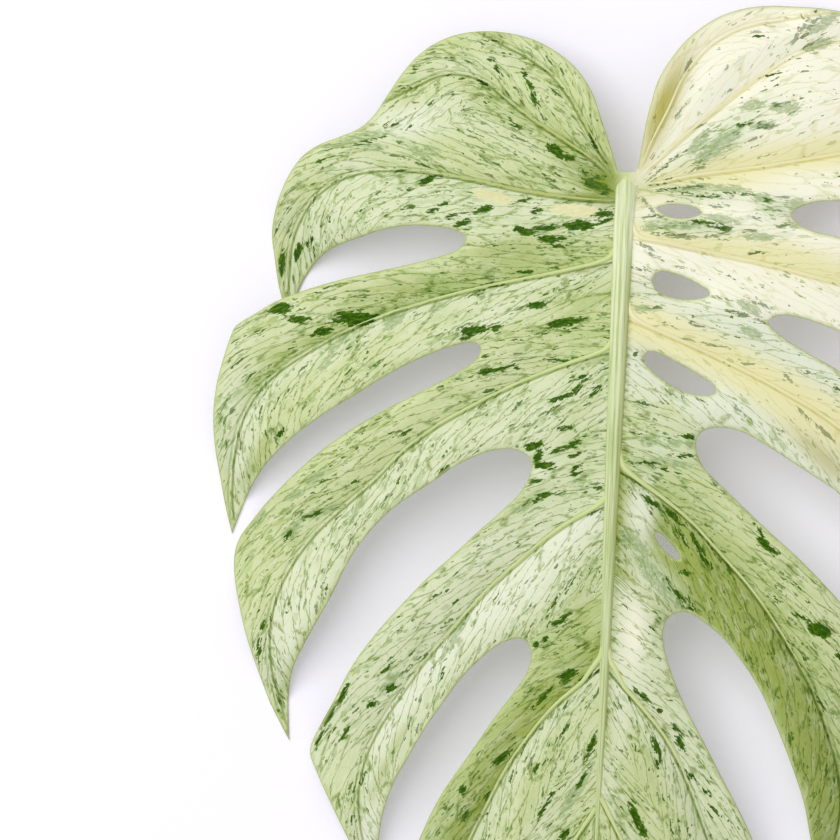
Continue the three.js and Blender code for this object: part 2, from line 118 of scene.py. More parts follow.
# The side veins of each half, from the stalk's end of the leaf to its tip.
SIDE_VEINS = {
    "left": [
        [(-3, -2), (-11, 10), (-17, 20), (-22.5, 29), (-29, 37), (-37, 43), (-47, 48)],
        [(-3, -3), (-12, 5), (-22, 11.5), (-35, 19.5), (-44, 26), (-53, 33), (-62, 36.6),
         (-72, 36), (-82, 31)],
        [(-3, -9), (-15, -9), (-30, -7.8), (-45, -5.6), (-60, -3), (-75, -1), (-90, -0.6),
         (-102, -2.6), (-112, -7.5), (-120, -16), (-125, -28), (-126, -38)],
        [(-3, -31), (-12, -33.3), (-25, -36.8), (-40, -40.4), (-55, -44.2), (-70, -48.8),
         (-85, -54), (-100, -60.5), (-114, -68.5), (-126, -76.8), (-135, -86), (-141, -98),
         (-143.5, -112), (-143.8, -126), (-142.8, -134)],
        [(-3, -65), (-12, -67.8), (-25, -73), (-40, -80), (-55, -88.4), (-68, -96.6),
         (-80, -106.6), (-90, -117.5), (-100, -127), (-110, -137), (-118, -148), (-124, -160),
         (-127, -174), (-126, -190), (-121.5, -205)],
        [(-3, -122.5), (-12, -127), (-22, -134), (-34, -145), (-46, -157), (-57, -170.5),
         (-67, -183), (-75.5, -196), (-83, -208.5), (-88.5, -221), (-91, -235), (-89.5, -250),
         (-85, -264)],
        [(-2, -182.5), (-9, -189.5), (-19, -199), (-28, -211), (-36, -224), (-43, -239),
         (-49.5, -254), (-54, -268), (-56, -283), (-55.4, -293)],
        [(-1, -236), (-7, -246), (-13.5, -258), (-20, -271), (-25.5, -284), (-28, -297)],
    ],
    "right": [
        [(3, 0), (8, 13), (14, 26), (20, 40), (29, 51.5), (41, 59), (56, 63)],
        [(3, -1), (16, 12), (30, 25), (45, 38), (60, 49), (76, 56), (93, 57), (108, 50)],
        [(3, -4), (12, -1.5), (25, 1.8), (40, 4.6), (55, 7.4), (70, 10.8), (84, 13.6), (98, 14),
         (112, 11), (124, 3.6), (133, -8), (138.5, -22), (140, -35)],
        [(3, -22.5), (12, -23.6), (25, -25.6), (40, -28), (55, -30.4), (70, -33.6), (84, -36.8),
         (98, -42), (112, -49.5), (124, -58.5), (134, -69.5), (141, -82.5), (144.3, -97),
         (144, -112), (142.4, -122)],
        [(3, -53), (12, -56.3), (22, -60), (34, -64.8), (48, -70.8), (62, -77.5), (76, -85),
         (89, -94), (101, -104.5), (111.5, -117), (120.5, -131), (126.5, -146), (128.5, -162),
         (126, -178), (121, -192)],
        [(2.5, -109.5), (9, -113), (19, -119.5), (30, -128), (41, -139), (52, -150.3), (62, -163),
         (71, -176.5), (79, -190), (85.5, -205), (90.5, -220), (92, -235), (89.8, -250),
         (87.2, -258)],
        [(1, -183.5), (7, -190), (16, -199.5), (25, -210.5), (32.5, -224), (39.5, -240),
         (46, -256), (50.5, -272), (52.3, -287)],
        [(0.5, -232), (6, -242), (12.5, -254.5), (18.5, -268), (23.5, -282), (26, -295)],
    ],
}


def smooth_line(points, step):
    """A smooth line through given points, with a corner about every step millimetres."""
    p = np.array(points, float)
    p = np.vstack([p[:1], p, p[-1:]])
    a, b, c, d = (p[k:len(p) - 3 + k, None] for k in range(4))
    t = np.linspace(0, 1, 16, endpoint=False)[None, :, None]
    leave, arrive = (c - a) / 2, (d - b) / 2
    line = ((2 * b - 2 * c + leave + arrive) * t ** 3
            + (3 * c - 3 * b - 2 * leave - arrive) * t ** 2 + leave * t + b).reshape(-1, p.shape[1])
    line = np.vstack([line, p[-1]])
    reached = np.concatenate([[0], np.cumsum(np.linalg.norm(np.diff(line, axis=0), axis=1))])
    at = np.linspace(0, reached[-1], max(2, round(reached[-1] / step)) + 1)
    return np.stack([np.interp(at, reached, column) for column in line.T], axis=1)


def measured(points, line):
    """How far points lie from a line, how far along it, and on which side (+1 is to its left)."""
    run = np.diff(line, axis=0)
    length = np.hypot(*run.T)
    reached = np.concatenate([[0], np.cumsum(length)])
    gap, along, side = np.full(len(points), np.inf), np.zeros(len(points)), np.zeros(len(points))
    for k in range(len(run)):
        off = points - line[k]
        t = np.clip(off @ run[k] / length[k] ** 2, 0, 1)
        here = np.hypot(off[:, 0] - t * run[k][0], off[:, 1] - t * run[k][1])
        near = here < gap
        gap[near] = here[near]
        along[near] = reached[k] + t[near] * length[k]
        side[near] = np.sign(run[k][0] * off[near, 1] - run[k][1] * off[near, 0])
    return gap, along, side


def thinned(line, step):
    """Every step-th point of a line, and always its last one."""
    return np.vstack([line[:-1:step], line[-1:]])


def enclosed(points, loop):
    """Which points lie inside a closed loop."""
    odd = np.zeros(len(points), bool)
    for (ax, ay), (bx, by) in zip(loop, np.roll(loop, -1, axis=0)):
        if ay != by:
            odd ^= ((ay > points[:, 1]) != (by > points[:, 1])) & (
                points[:, 0] < ax + (points[:, 1] - ay) / (by - ay) * (bx - ax))
    return odd


def ease(value, low, high):
    """0 below low, 1 above high, and a smooth step between."""
    t = np.clip((value - low) / (high - low), 0, 1)
    return t * t * (3 - 2 * t)


EDGE_STEP = 1.3
margin = [smooth_line(stretch, EDGE_STEP) for stretch in OUTLINE]
edge_loops = [np.vstack([line[:-1] for line in margin[:-1]] + margin[-1:])]
edge_loops += [smooth_line(hole + hole[:1], EDGE_STEP)[:-1] for hole in HOLES]
lobe_tips = [stretch[0] for stretch in OUTLINE[1:]]
centre = (edge_loops[0].min(0) + edge_loops[0].max(0)) / 2

# ---- The form of the blade ----------------------------------------------------------------------
# The leaf rests on its lobe tips and arches 40 mm over the surface. It dips into a valley along
# every side vein, its margin curls down, and the end of the first left lobe passes under the next.
MIDRIB_X = -0.4
ARCH_HEIGHT, ARCH_TOP_Y, ARCH_HALF_WIDTH = 40, -80, 165
ARCH_TO_BASE, ARCH_TO_TIP = 175, 262
DROOP_REACH = 25
VALLEY_DEPTH, VALLEY_HALF_WIDTH = 5.5, 22
CURL_DEPTH, CURL_WIDTH = 2, 4
TUCKED_X, TUCKED_EDGE, TUCKED_SLOPE = -98, (-104, -41.1), 0.351
TUCK_FROM, TUCK_PULL = -30, 0.049


def on_tucked_lobe(x, y):
    return (x < TUCKED_X) & (y > TUCKED_EDGE[1] + TUCKED_SLOPE * (x - TUCKED_EDGE[0]))


def tucked(points):
    """Plan places, with the end of the tucked lobe drawn out below its neighbour's edge."""
    x, y = points.T
    drawn = on_tucked_lobe(x, y) & (y < TUCK_FROM)
    return np.stack([x, np.where(drawn, y - TUCK_PULL * (TUCK_FROM - y) ** 2, y)], axis=1)


def arch(x, y):
    reach = np.where(y > ARCH_TOP_Y, ARCH_TO_BASE, ARCH_TO_TIP)
    dome = 1 - (x / ARCH_HALF_WIDTH) ** 2 - ((y - ARCH_TOP_Y) / reach) ** 2
    return ARCH_HEIGHT * np.maximum(dome, 0) ** 0.8


def underside(points, vein_gap, edge_gap):
    """Height of the blade's underside over the surface it lies on."""
    x, y = points.T
    z = arch(x, y)
    for i, (tip_x, tip_y) in enumerate(lobe_tips):
        from_tip = (x - tip_x) ** 2 + (y - tip_y) ** 2
        droop = (arch(tip_x, tip_y) + 1) * np.exp(-from_tip / DROOP_REACH ** 2)
        z = z - (droop if i > 0 else np.where(on_tucked_lobe(x, y), droop, 0))
    z -= (VALLEY_DEPTH * ease(np.abs(x), 4, 45)
          * (1 - np.minimum(vein_gap / VALLEY_HALF_WIDTH, 1)) ** 2)
    z -= CURL_DEPTH * ease(np.hypot(x, y), 8, 50) * np.exp(-edge_gap / CURL_WIDTH)
    return np.maximum(z, 0)


# Each half's veins, run on a little past both ends so that points beyond an end are still measured
# across. The veins that share the joint run back least, and those over the base lobes run on most.
# The midrib's last stretch counts as a vein of both halves.
VEIN_STEP = 1.3
halves = {}
for half, lines in SIDE_VEINS.items():
    veins = [smooth_line(line, VEIN_STEP) for line in lines]
    run_on = []
    for k, line in enumerate(veins):
        back, ahead = line[0] - line[4], line[-1] - line[-5]
        back *= (2 if k < 3 else 18) / np.hypot(*back)
        ahead *= (30 if k < 2 else 10) / np.hypot(*ahead)
        run_on.append(np.vstack([line[0] + back, line, line[-1] + ahead]))
    run_on.append(np.array([[MIDRIB_X, -240.0], [MIDRIB_X, -330.0]]))
    halves[half] = {"veins": veins, "run_on": run_on}
midrib_line = np.array([[MIDRIB_X, y] for y in np.arange(-6, -318, -1.6)])
all_veins = halves["left"]["veins"] + halves["right"]["veins"]


def vein_gaps(points):
    return np.min([measured(points, thinned(line, 3))[0] for line in all_veins], axis=0)


def edge_gaps(points):
    closed = [np.vstack([loop[::2], loop[:1]]) for loop in edge_loops]
    return np.min([measured(points, loop)[0] for loop in closed], axis=0)


def leaf_height(points):
    return underside(points, vein_gaps(points), edge_gaps(points))

# ---- The variegation of the blade ---------------------------------------------------------------
# Cells with and without green lie side by side, so the ground is cream, mint or green in stretches.
# Each tint has its colour, how densely small green blocks mottle it, and how many dark dashes lie
# in it.
TINTS = {
    "pale": ("#e6ebd2", 0.28, 0.22),
    "mint": ("#d8e0b8", 0.45, 0.40),
    "lime": ("#ced8a0", 0.45, 0.42),
    "fresh": ("#bbc984", 0.60, 0.60),
    "moss": ("#a0b05a", 0.45, 0.45),
    "olive": ("#80922c", 0.22, 0.20),
    "cream": ("#faf8e0", 0.11, 0.12),
    "butter": ("#efebb6", 0.06, 0.06),
    "straw": ("#b4ad52", 0.10, 0.10),
    "sage": ("#d3ddb8", 0.50, 0.42),
    "ridge": ("#dae3aa", 0.05, 0.05),
}

# What the ground is on each side of each vein: above it near and far, then below it near and far.
# The last row of each half is for the end of the midrib.
GROUND = {
    "left": [
        ("lime", "lime", "lime", "lime"), ("lime", "lime", "lime", "mint"),
        ("lime", "lime", "mint", "mint"), ("fresh", "lime", "mint", "lime"),
        ("lime", "lime", "mint", "mint"), ("mint", "mint", "pale", "mint"),
        ("moss", "fresh", "mint", "lime"), ("lime", "mint", "fresh", "lime"),
        ("lime", "lime", "lime", "lime"),
    ],
    "right": [
        ("cream", "cream", "cream", "cream"), ("cream", "cream", "cream", "cream"),
        ("butter", "cream", "butter", "cream"), ("butter", "cream", "cream", "cream"),
        ("butter", "pale", "butter", "pale"), ("fresh", "lime", "moss", "moss"),
        ("mint", "mint", "mint", "lime"), ("mint", "lime", "lime", "lime"),
        ("lime", "lime", "lime", "lime"),
    ],
}

# Stretches of ground that differ: tint, x, y, length, width, slope in degrees and strength. A few
# are painted shade, marked where they stand.
STRETCHES = [
    ("olive", -11, 0, 34, 19, -30, 0.95), ("moss", -22, 10, 44, 14, -35, 0.6),
    ("olive", -14, -8.6, 30, 5, 0, 0.9), ("moss", -40, -3, 60, 6, -4, 0.4),
    ("moss", -12, 18, 30, 7, -62, 0.5), ("lime", -64, 47, 50, 12, 8, 0.6),
    ("pale", -83, 17, 36, 18, 10, 0.85), ("pale", -62, 39, 50, 13, 6, 0.45),
    ("pale", -104, 0, 34, 10, 10, 0.6), ("mint", -127, -20, 50, 14, 95, 0.6),
    ("moss", -128, -36, 14, 5, 90, 0.5), ("lime", -122, -64, 70, 16, 28, 0.6),
    ("moss", -84, -45, 44, 8, 12, 0.6), ("pale", -144, -98, 80, 18, 86, 0.6),
    # The first stretches of the next two lines, moss along the lower edges of two lobe tips, are
    # painted shade where those edges curl down away from the lamp.
    ("moss", -134, -112, 42, 7, 62, 0.6), ("pale", -124, -186, 80, 26, 70, 0.55),
    ("moss", -112.5, -181, 70, 6, 66, 0.85), ("lime", -96, -236, 60, 26, 60, 0.6),
    ("moss", -80, -224, 50, 5, 66, 0.6), ("pale", -50, -56, 70, 10, 24, 0.6),
    ("pale", -32, -156, 60, 16, 46, 0.9), ("fresh", -16, -60, 30, 40, 90, 0.5),
    ("fresh", -14, -100, 40, 22, 90, 0.5), ("moss", -38, -128, 50, 8, 42, 0.5),
    ("moss", -10, -160, 40, 10, 80, 0.4), ("moss", -30, -205, 60, 12, 56, 0.7),
    ("fresh", -14, -47, 44, 16, 14, 0.7), ("moss", -42, -29, 50, 14, 8, 0.5),
    ("fresh", -48, 24, 50, 14, -32, 0.6), ("pale", -46, -141, 40, 12, 45, 0.4),
    ("fresh", -20, -225, 44, 18, 60, 0.35), ("fresh", 20, -225, 34, 12, -60, 0.35),
    ("cream", 9, -126, 22, 11, 90, 0.6), ("pale", 6, -205, 60, 9, 88, 0.6),
    # Both olive stretches on the next line are painted shade, a dark line just below the first
    # stretch of two left veins.
    ("olive", -13, -35.2, 22, 2.4, 13, 0.8), ("olive", -12, -70.3, 20, 2.4, 20, 0.6),
    ("olive", -9, -4, 16, 10, -25, 0.9), ("ridge", -0.4, -3, 13, 5.6, 90, 1.25),
    ("straw", 12, 27, 60, 12, 70, 0.98), ("butter", 34, 58, 60, 10, 22, 0.3),
    ("sage", 36, 18, 60, 14, 38, 0.7), ("cream", 55, 42, 50, 14, 35, 0.7),
    ("sage", 26, -5, 46, 7, -3, 0.8), ("sage", 24, -17.5, 44, 8, 0, 0.95),
    ("sage", 56, -9, 16, 12, 0, 0.8), ("cream", 70, 3, 50, 10, 5, 0.9),
    ("butter", 66, -28, 50, 12, -14, 0.9), ("butter", 120, -20, 60, 50, -40, 0.5),
    ("butter", 62, -84, 50, 14, -38, 0.8), ("straw", 78, -102, 40, 10, -40, 0.6),
    ("straw", 104, -120, 60, 16, -60, 0.5), ("butter", 130, -90, 60, 20, -60, 0.6),
    ("sage", 16, -101, 30, 16, 0, 0.8), ("mint", 12, -90, 20, 20, 0, 0.4),
    ("pale", 11, -124, 34, 13, 90, 0.95), ("cream", 10, -170, 40, 13, 90, 0.9),
    ("fresh", 30, -128, 60, 7, -42, 0.7), ("lime", 60, -135, 60, 14, -45, 0.6),
    ("pale", 17, -149, 34, 12, -46, 0.8), ("fresh", 84, -196, 60, 14, -60, 0.5),
    # The last stretch of the next line and both on the line after, thin olive strips beside the
    # midrib's right flank, are painted shade along the raised midrib's side away from the lamp.
    ("fresh", 14, -238, 60, 12, -70, 0.4), ("olive", 2.6, -70, 90, 1.8, 90, 0.6),
    ("olive", 2.4, -130, 90, 1.8, 90, 0.9), ("olive", 1.6, -190, 60, 1.6, 90, 0.6),
]

# Flecks: x, y, length, width and slope in degrees, which is left out where the fleck follows the
# fine veins. Crisp dark green ones, soft sage ones, cream ones and the brown scars.
DARK_FLECKS = [
    (-98, 9.4, 9, 1.3, 15), (-75, -4.5, 7, 2.8, 25), (-53, -14.5, 7, 2.6, 8), (-61, -20, 6, 2.5),
    (-68, -13, 4, 1.8), (-72, -15.5, 4, 1.5), (-65, -17.5, 5, 1.6), (-56, 33.5, 4, 1.8, -25),
    (-38.5, 34, 7, 1.8, -60), (-36, 27.5, 7, 2, -60), (-40, 37, 5, 1.5, -60), (-50, 38, 4, 1, -50),
    (-53, 42, 3, 1.4, 0), (-44, 19, 4, 1, -40), (-42, 17, 6, 1.2, -30), (-27, 8.5, 9, 3.4, -38),
    (-22.5, 6.5, 5, 2.4, -20), (-13.5, 13, 7, 1.8, -65), (-12, -3.5, 12, 3.6, -18),
    (-16, 0.8, 5, 1.2, -20), (-11, -0.4, 5, 1, 0), (-7.5, -6.5, 4, 1.4, 0), (-88, 16, 3.5, 1, 15),
    (-128, -38, 10, 2.6, 88), (-122.5, -33, 8, 2.2, 75), (-118, -29, 4, 1.3, 60),
    (-99, -56.5, 16, 3.4, 1), (-97, -58.6, 12, 2.4, 12), (-104, -58, 10, 2, 8),
    (-127.5, -54.5, 10, 4, 12), (-120.5, -58.5, 9, 2.6, 0), (-111.5, -62.7, 8, 3, 20),
    (-112, -131.6, 8, 1.4, 22), (-121, -140, 4, 1.6, 60), (-125.5, -101.5, 5, 2, 40),
    (-63.7, -113.2, 7, 2.6, 38), (-17.5, -19, 12, 3.6, 3), (-30, -20.5, 11, 2.4, 8),
    (-38, -22, 8, 3, -10), (-29, -24.5, 9, 3.2, 0), (-23, -24, 7, 1.8, 8), (-25, -27, 6, 1.6, 0),
    (-33, -14, 4.5, 2, 10), (-39, -10.5, 7, 1.6, 14), (-8, -14, 8, 2.6, 10),
    (-7, -16.5, 6, 1.6, 25), (-20.7, -55.3, 15, 3, 12), (-36, -37.2, 7, 1.4, 6),
    (-48, -42.5, 7, 1.6, 10), (-32, -49.5, 8, 2.6, 10), (-55, -60, 11, 3.4, 14),
    (-58, -63, 6, 1.8, 20), (-46.7, -58.5, 5, 2.5), (-47, -74.5, 14, 2, 12), (-40, -73, 6, 1.2, 0),
    (-23.5, -69.7, 9, 1.6, 3), (-19, -82.5, 14, 1.8, 20), (-24, -84.5, 4, 1.4, 20),
    (-8.7, -80.5, 6, 1.5, 50), (-14, -75.7, 5, 1.6, 15), (-15, -79, 9, 1.1, 35),
    (-22.2, -103, 6, 2, 20), (-16, -100.7, 9, 2, 32), (-15, -104.5, 5, 1.5, 20),
    (-20, -95, 5, 1.5, 10), (-30.7, -102, 7, 2.8, 20), (-29, -106, 6, 3, 70),
    (-26, -109.2, 9, 2.6, 5), (-14.7, -109.5, 4, 1.4, 25), (-14.2, -112, 4, 1.5, 20),
    (-24, -119.5, 9, 1.4, 8), (-28, -121.8, 7, 1.2, 25), (-30, -115, 6, 1.4, 5),
    (-7.5, -125.5, 7, 0.9, 30), (-14, -152, 5, 1, 45), (-19, -167.3, 7, 2.5, 20),
    (-16, -165, 5, 1.3, 30), (-23.2, -173.7, 2.8, 2.2, 45), (-26.5, -175.8, 2.4, 2, 45),
    (-14, -186.5, 9, 3.2, 25), (-16.5, -190, 6, 1, 20), (-23.5, -196.5, 9, 2, 50),
    (-6, -186.5, 9, 1.6, 35), (-20, -192, 5, 1.2, 40), (-37.2, -219.2, 9, 2.4, 40),
    (-51.2, -232, 3.6, 2.4, 80), (-50, -242, 5, 1.6, 60), (-42, -234, 4, 1.4, 60),
    (-4.2, -213.7, 11, 2.2, 70), (-7, -226, 10, 1.6, 62), (-12.5, -247, 6, 2.6, 50),
    (-14, -207, 6, 1.2, 55), (-24, -222, 6, 1.2, 60), (-20, -236, 12, 1.6, 62),
    (-98, -199, 9, 2.2, 65), (-103, -207, 10, 2.4, 62), (-106, -216, 8, 1.4, 70),
    (-96, -213.2, 6, 1.5, 60), (-79.7, -195, 4.5, 2.6, 40), (-86.5, -201.5, 4.5, 2.4, 20),
    (-82, -188, 6, 1.2, 50), (-89, -230, 5, 1.2, 70), (-129, -174, 3.5, 1.8, 80),
    (-112, -178, 7, 1.2, 60), (-130.3, -182, 5, 1.2, 80), (20.7, 42.2, 6.8, 1.6, 68),
    (35.5, 43, 2.5, 1.2, 40), (36.5, 34.2, 3.8, 0.9, 45), (26.2, 4.5, 6, 0.9, 22),
    (12.5, 3.5, 10.2, 0.8, 38), (9, 1.5, 6, 0.8, 40), (18, 8.5, 6, 0.9, 35),
    (51, 10.5, 3.4, 0.8, 20), (62, 57, 11.9, 1.2, 60), (68, 62, 7.6, 1.4, 50),
    (44, 22, 6.8, 1, 10), (52, 21.5, 6.8, 1.4, 10), (56, 30, 6, 1.2, 10), (17, -3.5, 6, 0.9, 8),
    (25, -2.3, 5.1, 0.8, 0), (6.5, -8.5, 4.2, 1.2, -50), (9, -11.5, 3.4, 0.8, -45),
    (30, -6, 7.6, 0.9, -3), (42, -4.5, 6.8, 1, -4), (52, -6, 4.2, 1.2, 0), (33, -9.5, 6.8, 0.9, 4),
    (18.5, -21.2, 15.3, 1.4, -3), (32, -20.5, 6.8, 0.9, 12), (36, -17.5, 8.5, 1.9, -6),
    (28, -15.5, 10.2, 1, 4), (46, -18, 5.1, 1, 10), (48.5, -13.3, 6, 1.1, -8),
    (13, -14.5, 6.8, 0.8, 4), (60, -15.5, 5.1, 1.2, 10), (8, -25.8, 5.1, 1.1, -22),
    (11.5, -29.5, 7.6, 1.2, -28), (7.5, -33.5, 2.5, 0.9, -40), (23.5, -33.3, 5.1, 0.8, -8),
    (52, -45.2, 8.5, 1.4, -32), (45.5, -49.5, 10.2, 1, -12), (38, -44, 6, 0.8, -10),
    (12, -48.5, 6, 0.9, 8), (28, -54, 6, 0.9, -12), (35.3, -61.3, 7.6, 0.8, -8),
    (17, -54.5, 5.1, 0.8, -20), (52, -52, 6.8, 0.8, -10), (6, -65.8, 2.4, 1.6, 45),
    (9, -68, 2, 1.6, 0), (62.8, -72, 4, 1, -40), (78, -92, 9, 1.4, -42), (70, -86, 7, 1, -45),
    (33, -105.2, 6, 2.2, -40), (37.5, -112.5, 5, 1.8, -45), (41, -115.8, 4, 1.3, -45),
    (27, -96, 6, 1.6, 0), (26, -103, 8, 1.2, 0), (12, -106, 8, 1, 0), (20, -109, 7, 1, -10),
    (14.5, -121, 9, 2.2, -30), (22, -125.5, 10, 2.4, -36), (32, -136, 10, 1.8, -56),
    (35.5, -142, 7, 2.2, -52), (26, -133, 8, 1.4, -56), (28.2, -146.7, 5, 2, -15),
    (57, -134.5, 8, 3, -45), (55, -130, 6, 1.4, -60), (61, -137.5, 4, 1.8, -20),
    (26, -155, 16, 1.6, -42), (30, -159.8, 6, 1.4, -10), (22, -151, 5, 1, -60),
    (79.5, -166, 9, 5.4, -20), (72.5, -161.5, 8, 1.5, -20), (88, -176, 6, 2, -50),
    (81.2, -193.2, 6, 1.4, -55), (14.5, -193.5, 8, 2, -38), (21, -198.5, 3, 1.6, -20),
    (20.5, -212, 9, 2.4, -66), (21, -218, 4, 1.8, -66), (29.2, -209.7, 7, 2.4, -66),
    (27.5, -205, 4, 1.4, -40), (34.6, -223, 6, 1.2, -45), (40, -228.5, 4, 1.5, -40),
    (14, -239, 13, 3, -66), (17, -244, 7, 2.4, -60), (12, -212, 6, 1, -60),
    (44, -236, 5, 1.2, -45),
]
SAGE_FLECKS = [
    (-101, 10.5, 22, 4, 17), (-110.5, -131, 17, 3.6, 20), (-120, -138, 9, 4.4, 55),
    (-84, -56.5, 13, 4.2, 46), (-67.5, -51, 9, 2.2, 34), (-105, -67, 13, 2.8, 55),
    (-110, -75, 8, 3, 50), (-112, -118, 10, 3, 50), (-119.5, -124.5, 9, 3.4, 22),
    (-127, -123, 11, 2.8, 42), (-133, -133, 14, 3, 58), (-95.5, -128.5, 15, 2.2, 58),
    (-134, -147, 5, 1.6, 45), (-59.5, -77.5, 6, 2.4, 20), (-55.5, -172, 26, 3, 62),
    (-61.5, -183, 5, 2, 60), (-95, 7, 10, 3, 8), (-79, 6, 12, 2, -30), (-74, 7, 6, 2, -10),
    (-70, -78, 10, 3, 20), (-10, -232, 20, 4, 62), (-80, -193, 12, 3, 50), (-35, -126, 8, 2.4, 30),
    (-6, -226, 14, 3, 68), (46, 29.5, 10, 3.4, 10), (49.2, 22, 10, 3, 12), (58.2, 29, 12, 4.6, 5),
    (34, 14, 22, 5.6, 38), (26, 14.5, 12, 4, 55), (72, 62, 14, 4, 40), (70, 54, 12, 4, 20),
    (38, -2.6, 22, 2.6, -5), (24, -3, 14, 2.2, 3), (51, -5.8, 8, 4, -10), (63, -7, 8, 4, 10),
    (9.5, -18, 7, 3.6, 20), (22, -17, 18, 3, 4), (36, -14, 14, 3, -5), (51, -20.3, 12, 3, 0),
    (63, -15, 6, 3, 0), (11.7, -98, 7, 5, 0), (21.5, -98.5, 6, 3, 0), (28, -98.5, 5, 4, 40),
    (14, -105.7, 12, 2.6, 0), (24, -106.5, 10, 2, -5), (10, -137, 12, 4.4, -48),
    (17, -149, 22, 6.4, -46), (24, -156.5, 12, 3.4, -46), (5.5, -135, 7, 4.4, -70),
    (48, -56, 10, 4, -20), (48, -47, 10, 4, -30), (8, -49, 9, 3, 5),
]
CREAM_FLECKS = [(-19, -13.4, 20, 4.6, -2), (-50, -9.6, 17, 4, -10)]
BROWN_FLECKS = [(-80.5, 24.7, 2.6, 1.5, 10), (-90, 15.2, 6, 0.7, 15), (37.3, 53.2, 4, 0.9, 88),
                (62.2, 60, 3, 0.8, 80)]


def linear(code):
    """The linear colour that a screen hex code stands for."""
    shown = [int(code[k:k + 2], 16) / 255 for k in (1, 3, 5)]
    return [c / 12.92 if c <= 0.04045 else ((c + 0.055) / 1.055) ** 2.4 for c in shown]


def over(points, marks):
    """Shares of a set of long marks over points: 1 at a mark's middle line, 0 at its edge."""
    for x, y, length, width, slope in marks:
        c, s = math.cos(math.radians(slope)), math.sin(math.radians(slope))
        off = points - (x, y)
        u, v = off @ (c, s), off @ (-s, c)
        yield 1 - np.hypot(u / (length / 2), v / (width / 2))


def fleck_field(points, flecks):
    """Roughly how far inside a fleck's edge points lie, in millimetres, and below zero outside."""
    whole = [fleck if len(fleck) == 5 else (*fleck, 20 if fleck[0] < 0 else -20)
             for fleck in flecks]
    field = np.full(len(points), -3.0)
    for fleck, share in zip(whole, over(points, whole)):
        field = np.maximum(field, share * fleck[3] / 2)
    return field

# ---- The net of the blade -----------------------------------------------------------------------
# Corners lie on the margin, on every vein and in an even net between, which is twice as fine where
# a fleck needs a crisp edge. The same net makes the upper and the lower face, joined by the rim.
FINE = 0.9
ROW = FINE * 0.866
NET_FROM, NET_COLUMNS, NET_ROWS = (-154, -329), 340, 512
FLECK_MARGIN = 0.7
VEIN_OFF_EDGE, VEIN_OFF_MIDRIB = 0.9, 0.8
NET_OFF_EDGE, NET_OFF_VEIN = 0.55, 0.5
BLADE_TOP = 0.9
BLADE_BOTTOM = 0.3


def is_blade(points):
    inside = enclosed(points, edge_loops[0])
    for loop in edge_loops[1:]:
        inside &= ~enclosed(points, loop)
    return inside


across, down = np.meshgrid(np.arange(NET_COLUMNS), np.arange(NET_ROWS))
net = np.stack([NET_FROM[0] + FINE * (across + (down % 2) / 2), NET_FROM[1] + ROW * down],
               axis=-1).reshape(-1, 2)
coarse = ((down % 2 == 0) & ((across + (down % 4) // 2) % 2 == 0)).ravel()
by_fleck = np.max([fleck_field(net, flecks) for flecks in (DARK_FLECKS, SAGE_FLECKS, CREAM_FLECKS)],
                  axis=0) > -FLECK_MARGIN
net = net[(coarse | by_fleck) & is_blade(net)]

edge_places = np.vstack(edge_loops)
edge_sides, first = [], 0
for loop in edge_loops:
    edge_sides += [(first + k, first + (k + 1) % len(loop)) for k in range(len(loop))]
    first += len(loop)
places, sides = [edge_places], list(edge_sides)
for line in [*all_veins, midrib_line]:
    kept = is_blade(line) & (edge_gaps(line) > VEIN_OFF_EDGE)
    if line is not midrib_line:
        kept &= np.abs(line[:, 0] - MIDRIB_X) > VEIN_OFF_MIDRIB
    index = np.full(len(line), -1)
    index[kept] = first + np.arange(kept.sum())
    sides += [(int(a), int(b)) for a, b in zip(index[:-1], index[1:]) if a >= 0 and b >= 0]
    places.append(line[kept])
    first += kept.sum()
clear = ((edge_gaps(net) > NET_OFF_EDGE) & (vein_gaps(net) > NET_OFF_VEIN)
         & (np.abs(net[:, 0] - MIDRIB_X) > NET_OFF_VEIN))
corners, _, triangles, *_ = delaunay_2d_cdt([Vector(p) for p in np.vstack([*places, net[clear]])],
                                            sides, [], 0, 1e-6)
plan = np.array([tuple(c) for c in corners])
triangles = np.array(triangles)
triangles = triangles[is_blade(plan[triangles].mean(1))]
a, b, c = (plan[triangles[:, k]] for k in range(3))
wrong = (b[:, 0] - a[:, 0]) * (c[:, 1] - a[:, 1]) < (b[:, 1] - a[:, 1]) * (c[:, 0] - a[:, 0])
triangles[wrong] = triangles[wrong][:, ::-1]

edge_gap = edge_gaps(plan)
low = underside(plan, vein_gaps(plan), edge_gap)
used = np.unique(triangles)
rank = np.full(len(plan), -1)
rank[used] = np.arange(len(used))
triangles, plan, edge_gap, low = rank[triangles], plan[used], edge_gap[used], low[used]
count = len(plan)
seen = tucked(plan)
metres = (seen - centre) / 1000

# ---- What each corner of the net knows ----------------------------------------------------------
# The fine veins leave each side vein at about 14 degrees, so blocks and dashes are stretched along
# them: "flow" is the place along and across the fine veins and the signed distance from the vein.
FINE_VEIN_TURN = math.radians(14)
PATTERN_APART, RIGHT_PATTERNS = 170, 40
NEAR_VEIN, FAR_FROM_VEIN = 2.5, 13
STRETCH_EDGE = 1.6


def owner_veins(seeds, allowed):
    """Which vein each corner belongs to, by the shortest way over the blade, never over a slit."""
    owner, reached = np.full(count, -1), np.full(count, np.inf)
    queue = []
    for k, points in enumerate(seeds):
        for point in points:
            owner[point], reached[point] = k, 0.0
            queue.append((0.0, int(point)))
    heapq.heapify(queue)
    while queue:
        far, point = heapq.heappop(queue)
        if far > reached[point]:
            continue
        for other in neighbours[point]:
            step = far + math.dist(plan[point], plan[other])
            if step < reached[other] and allowed[other]:
                reached[other], owner[other] = step, owner[point]
                heapq.heappush(queue, (step, other))
    return owner


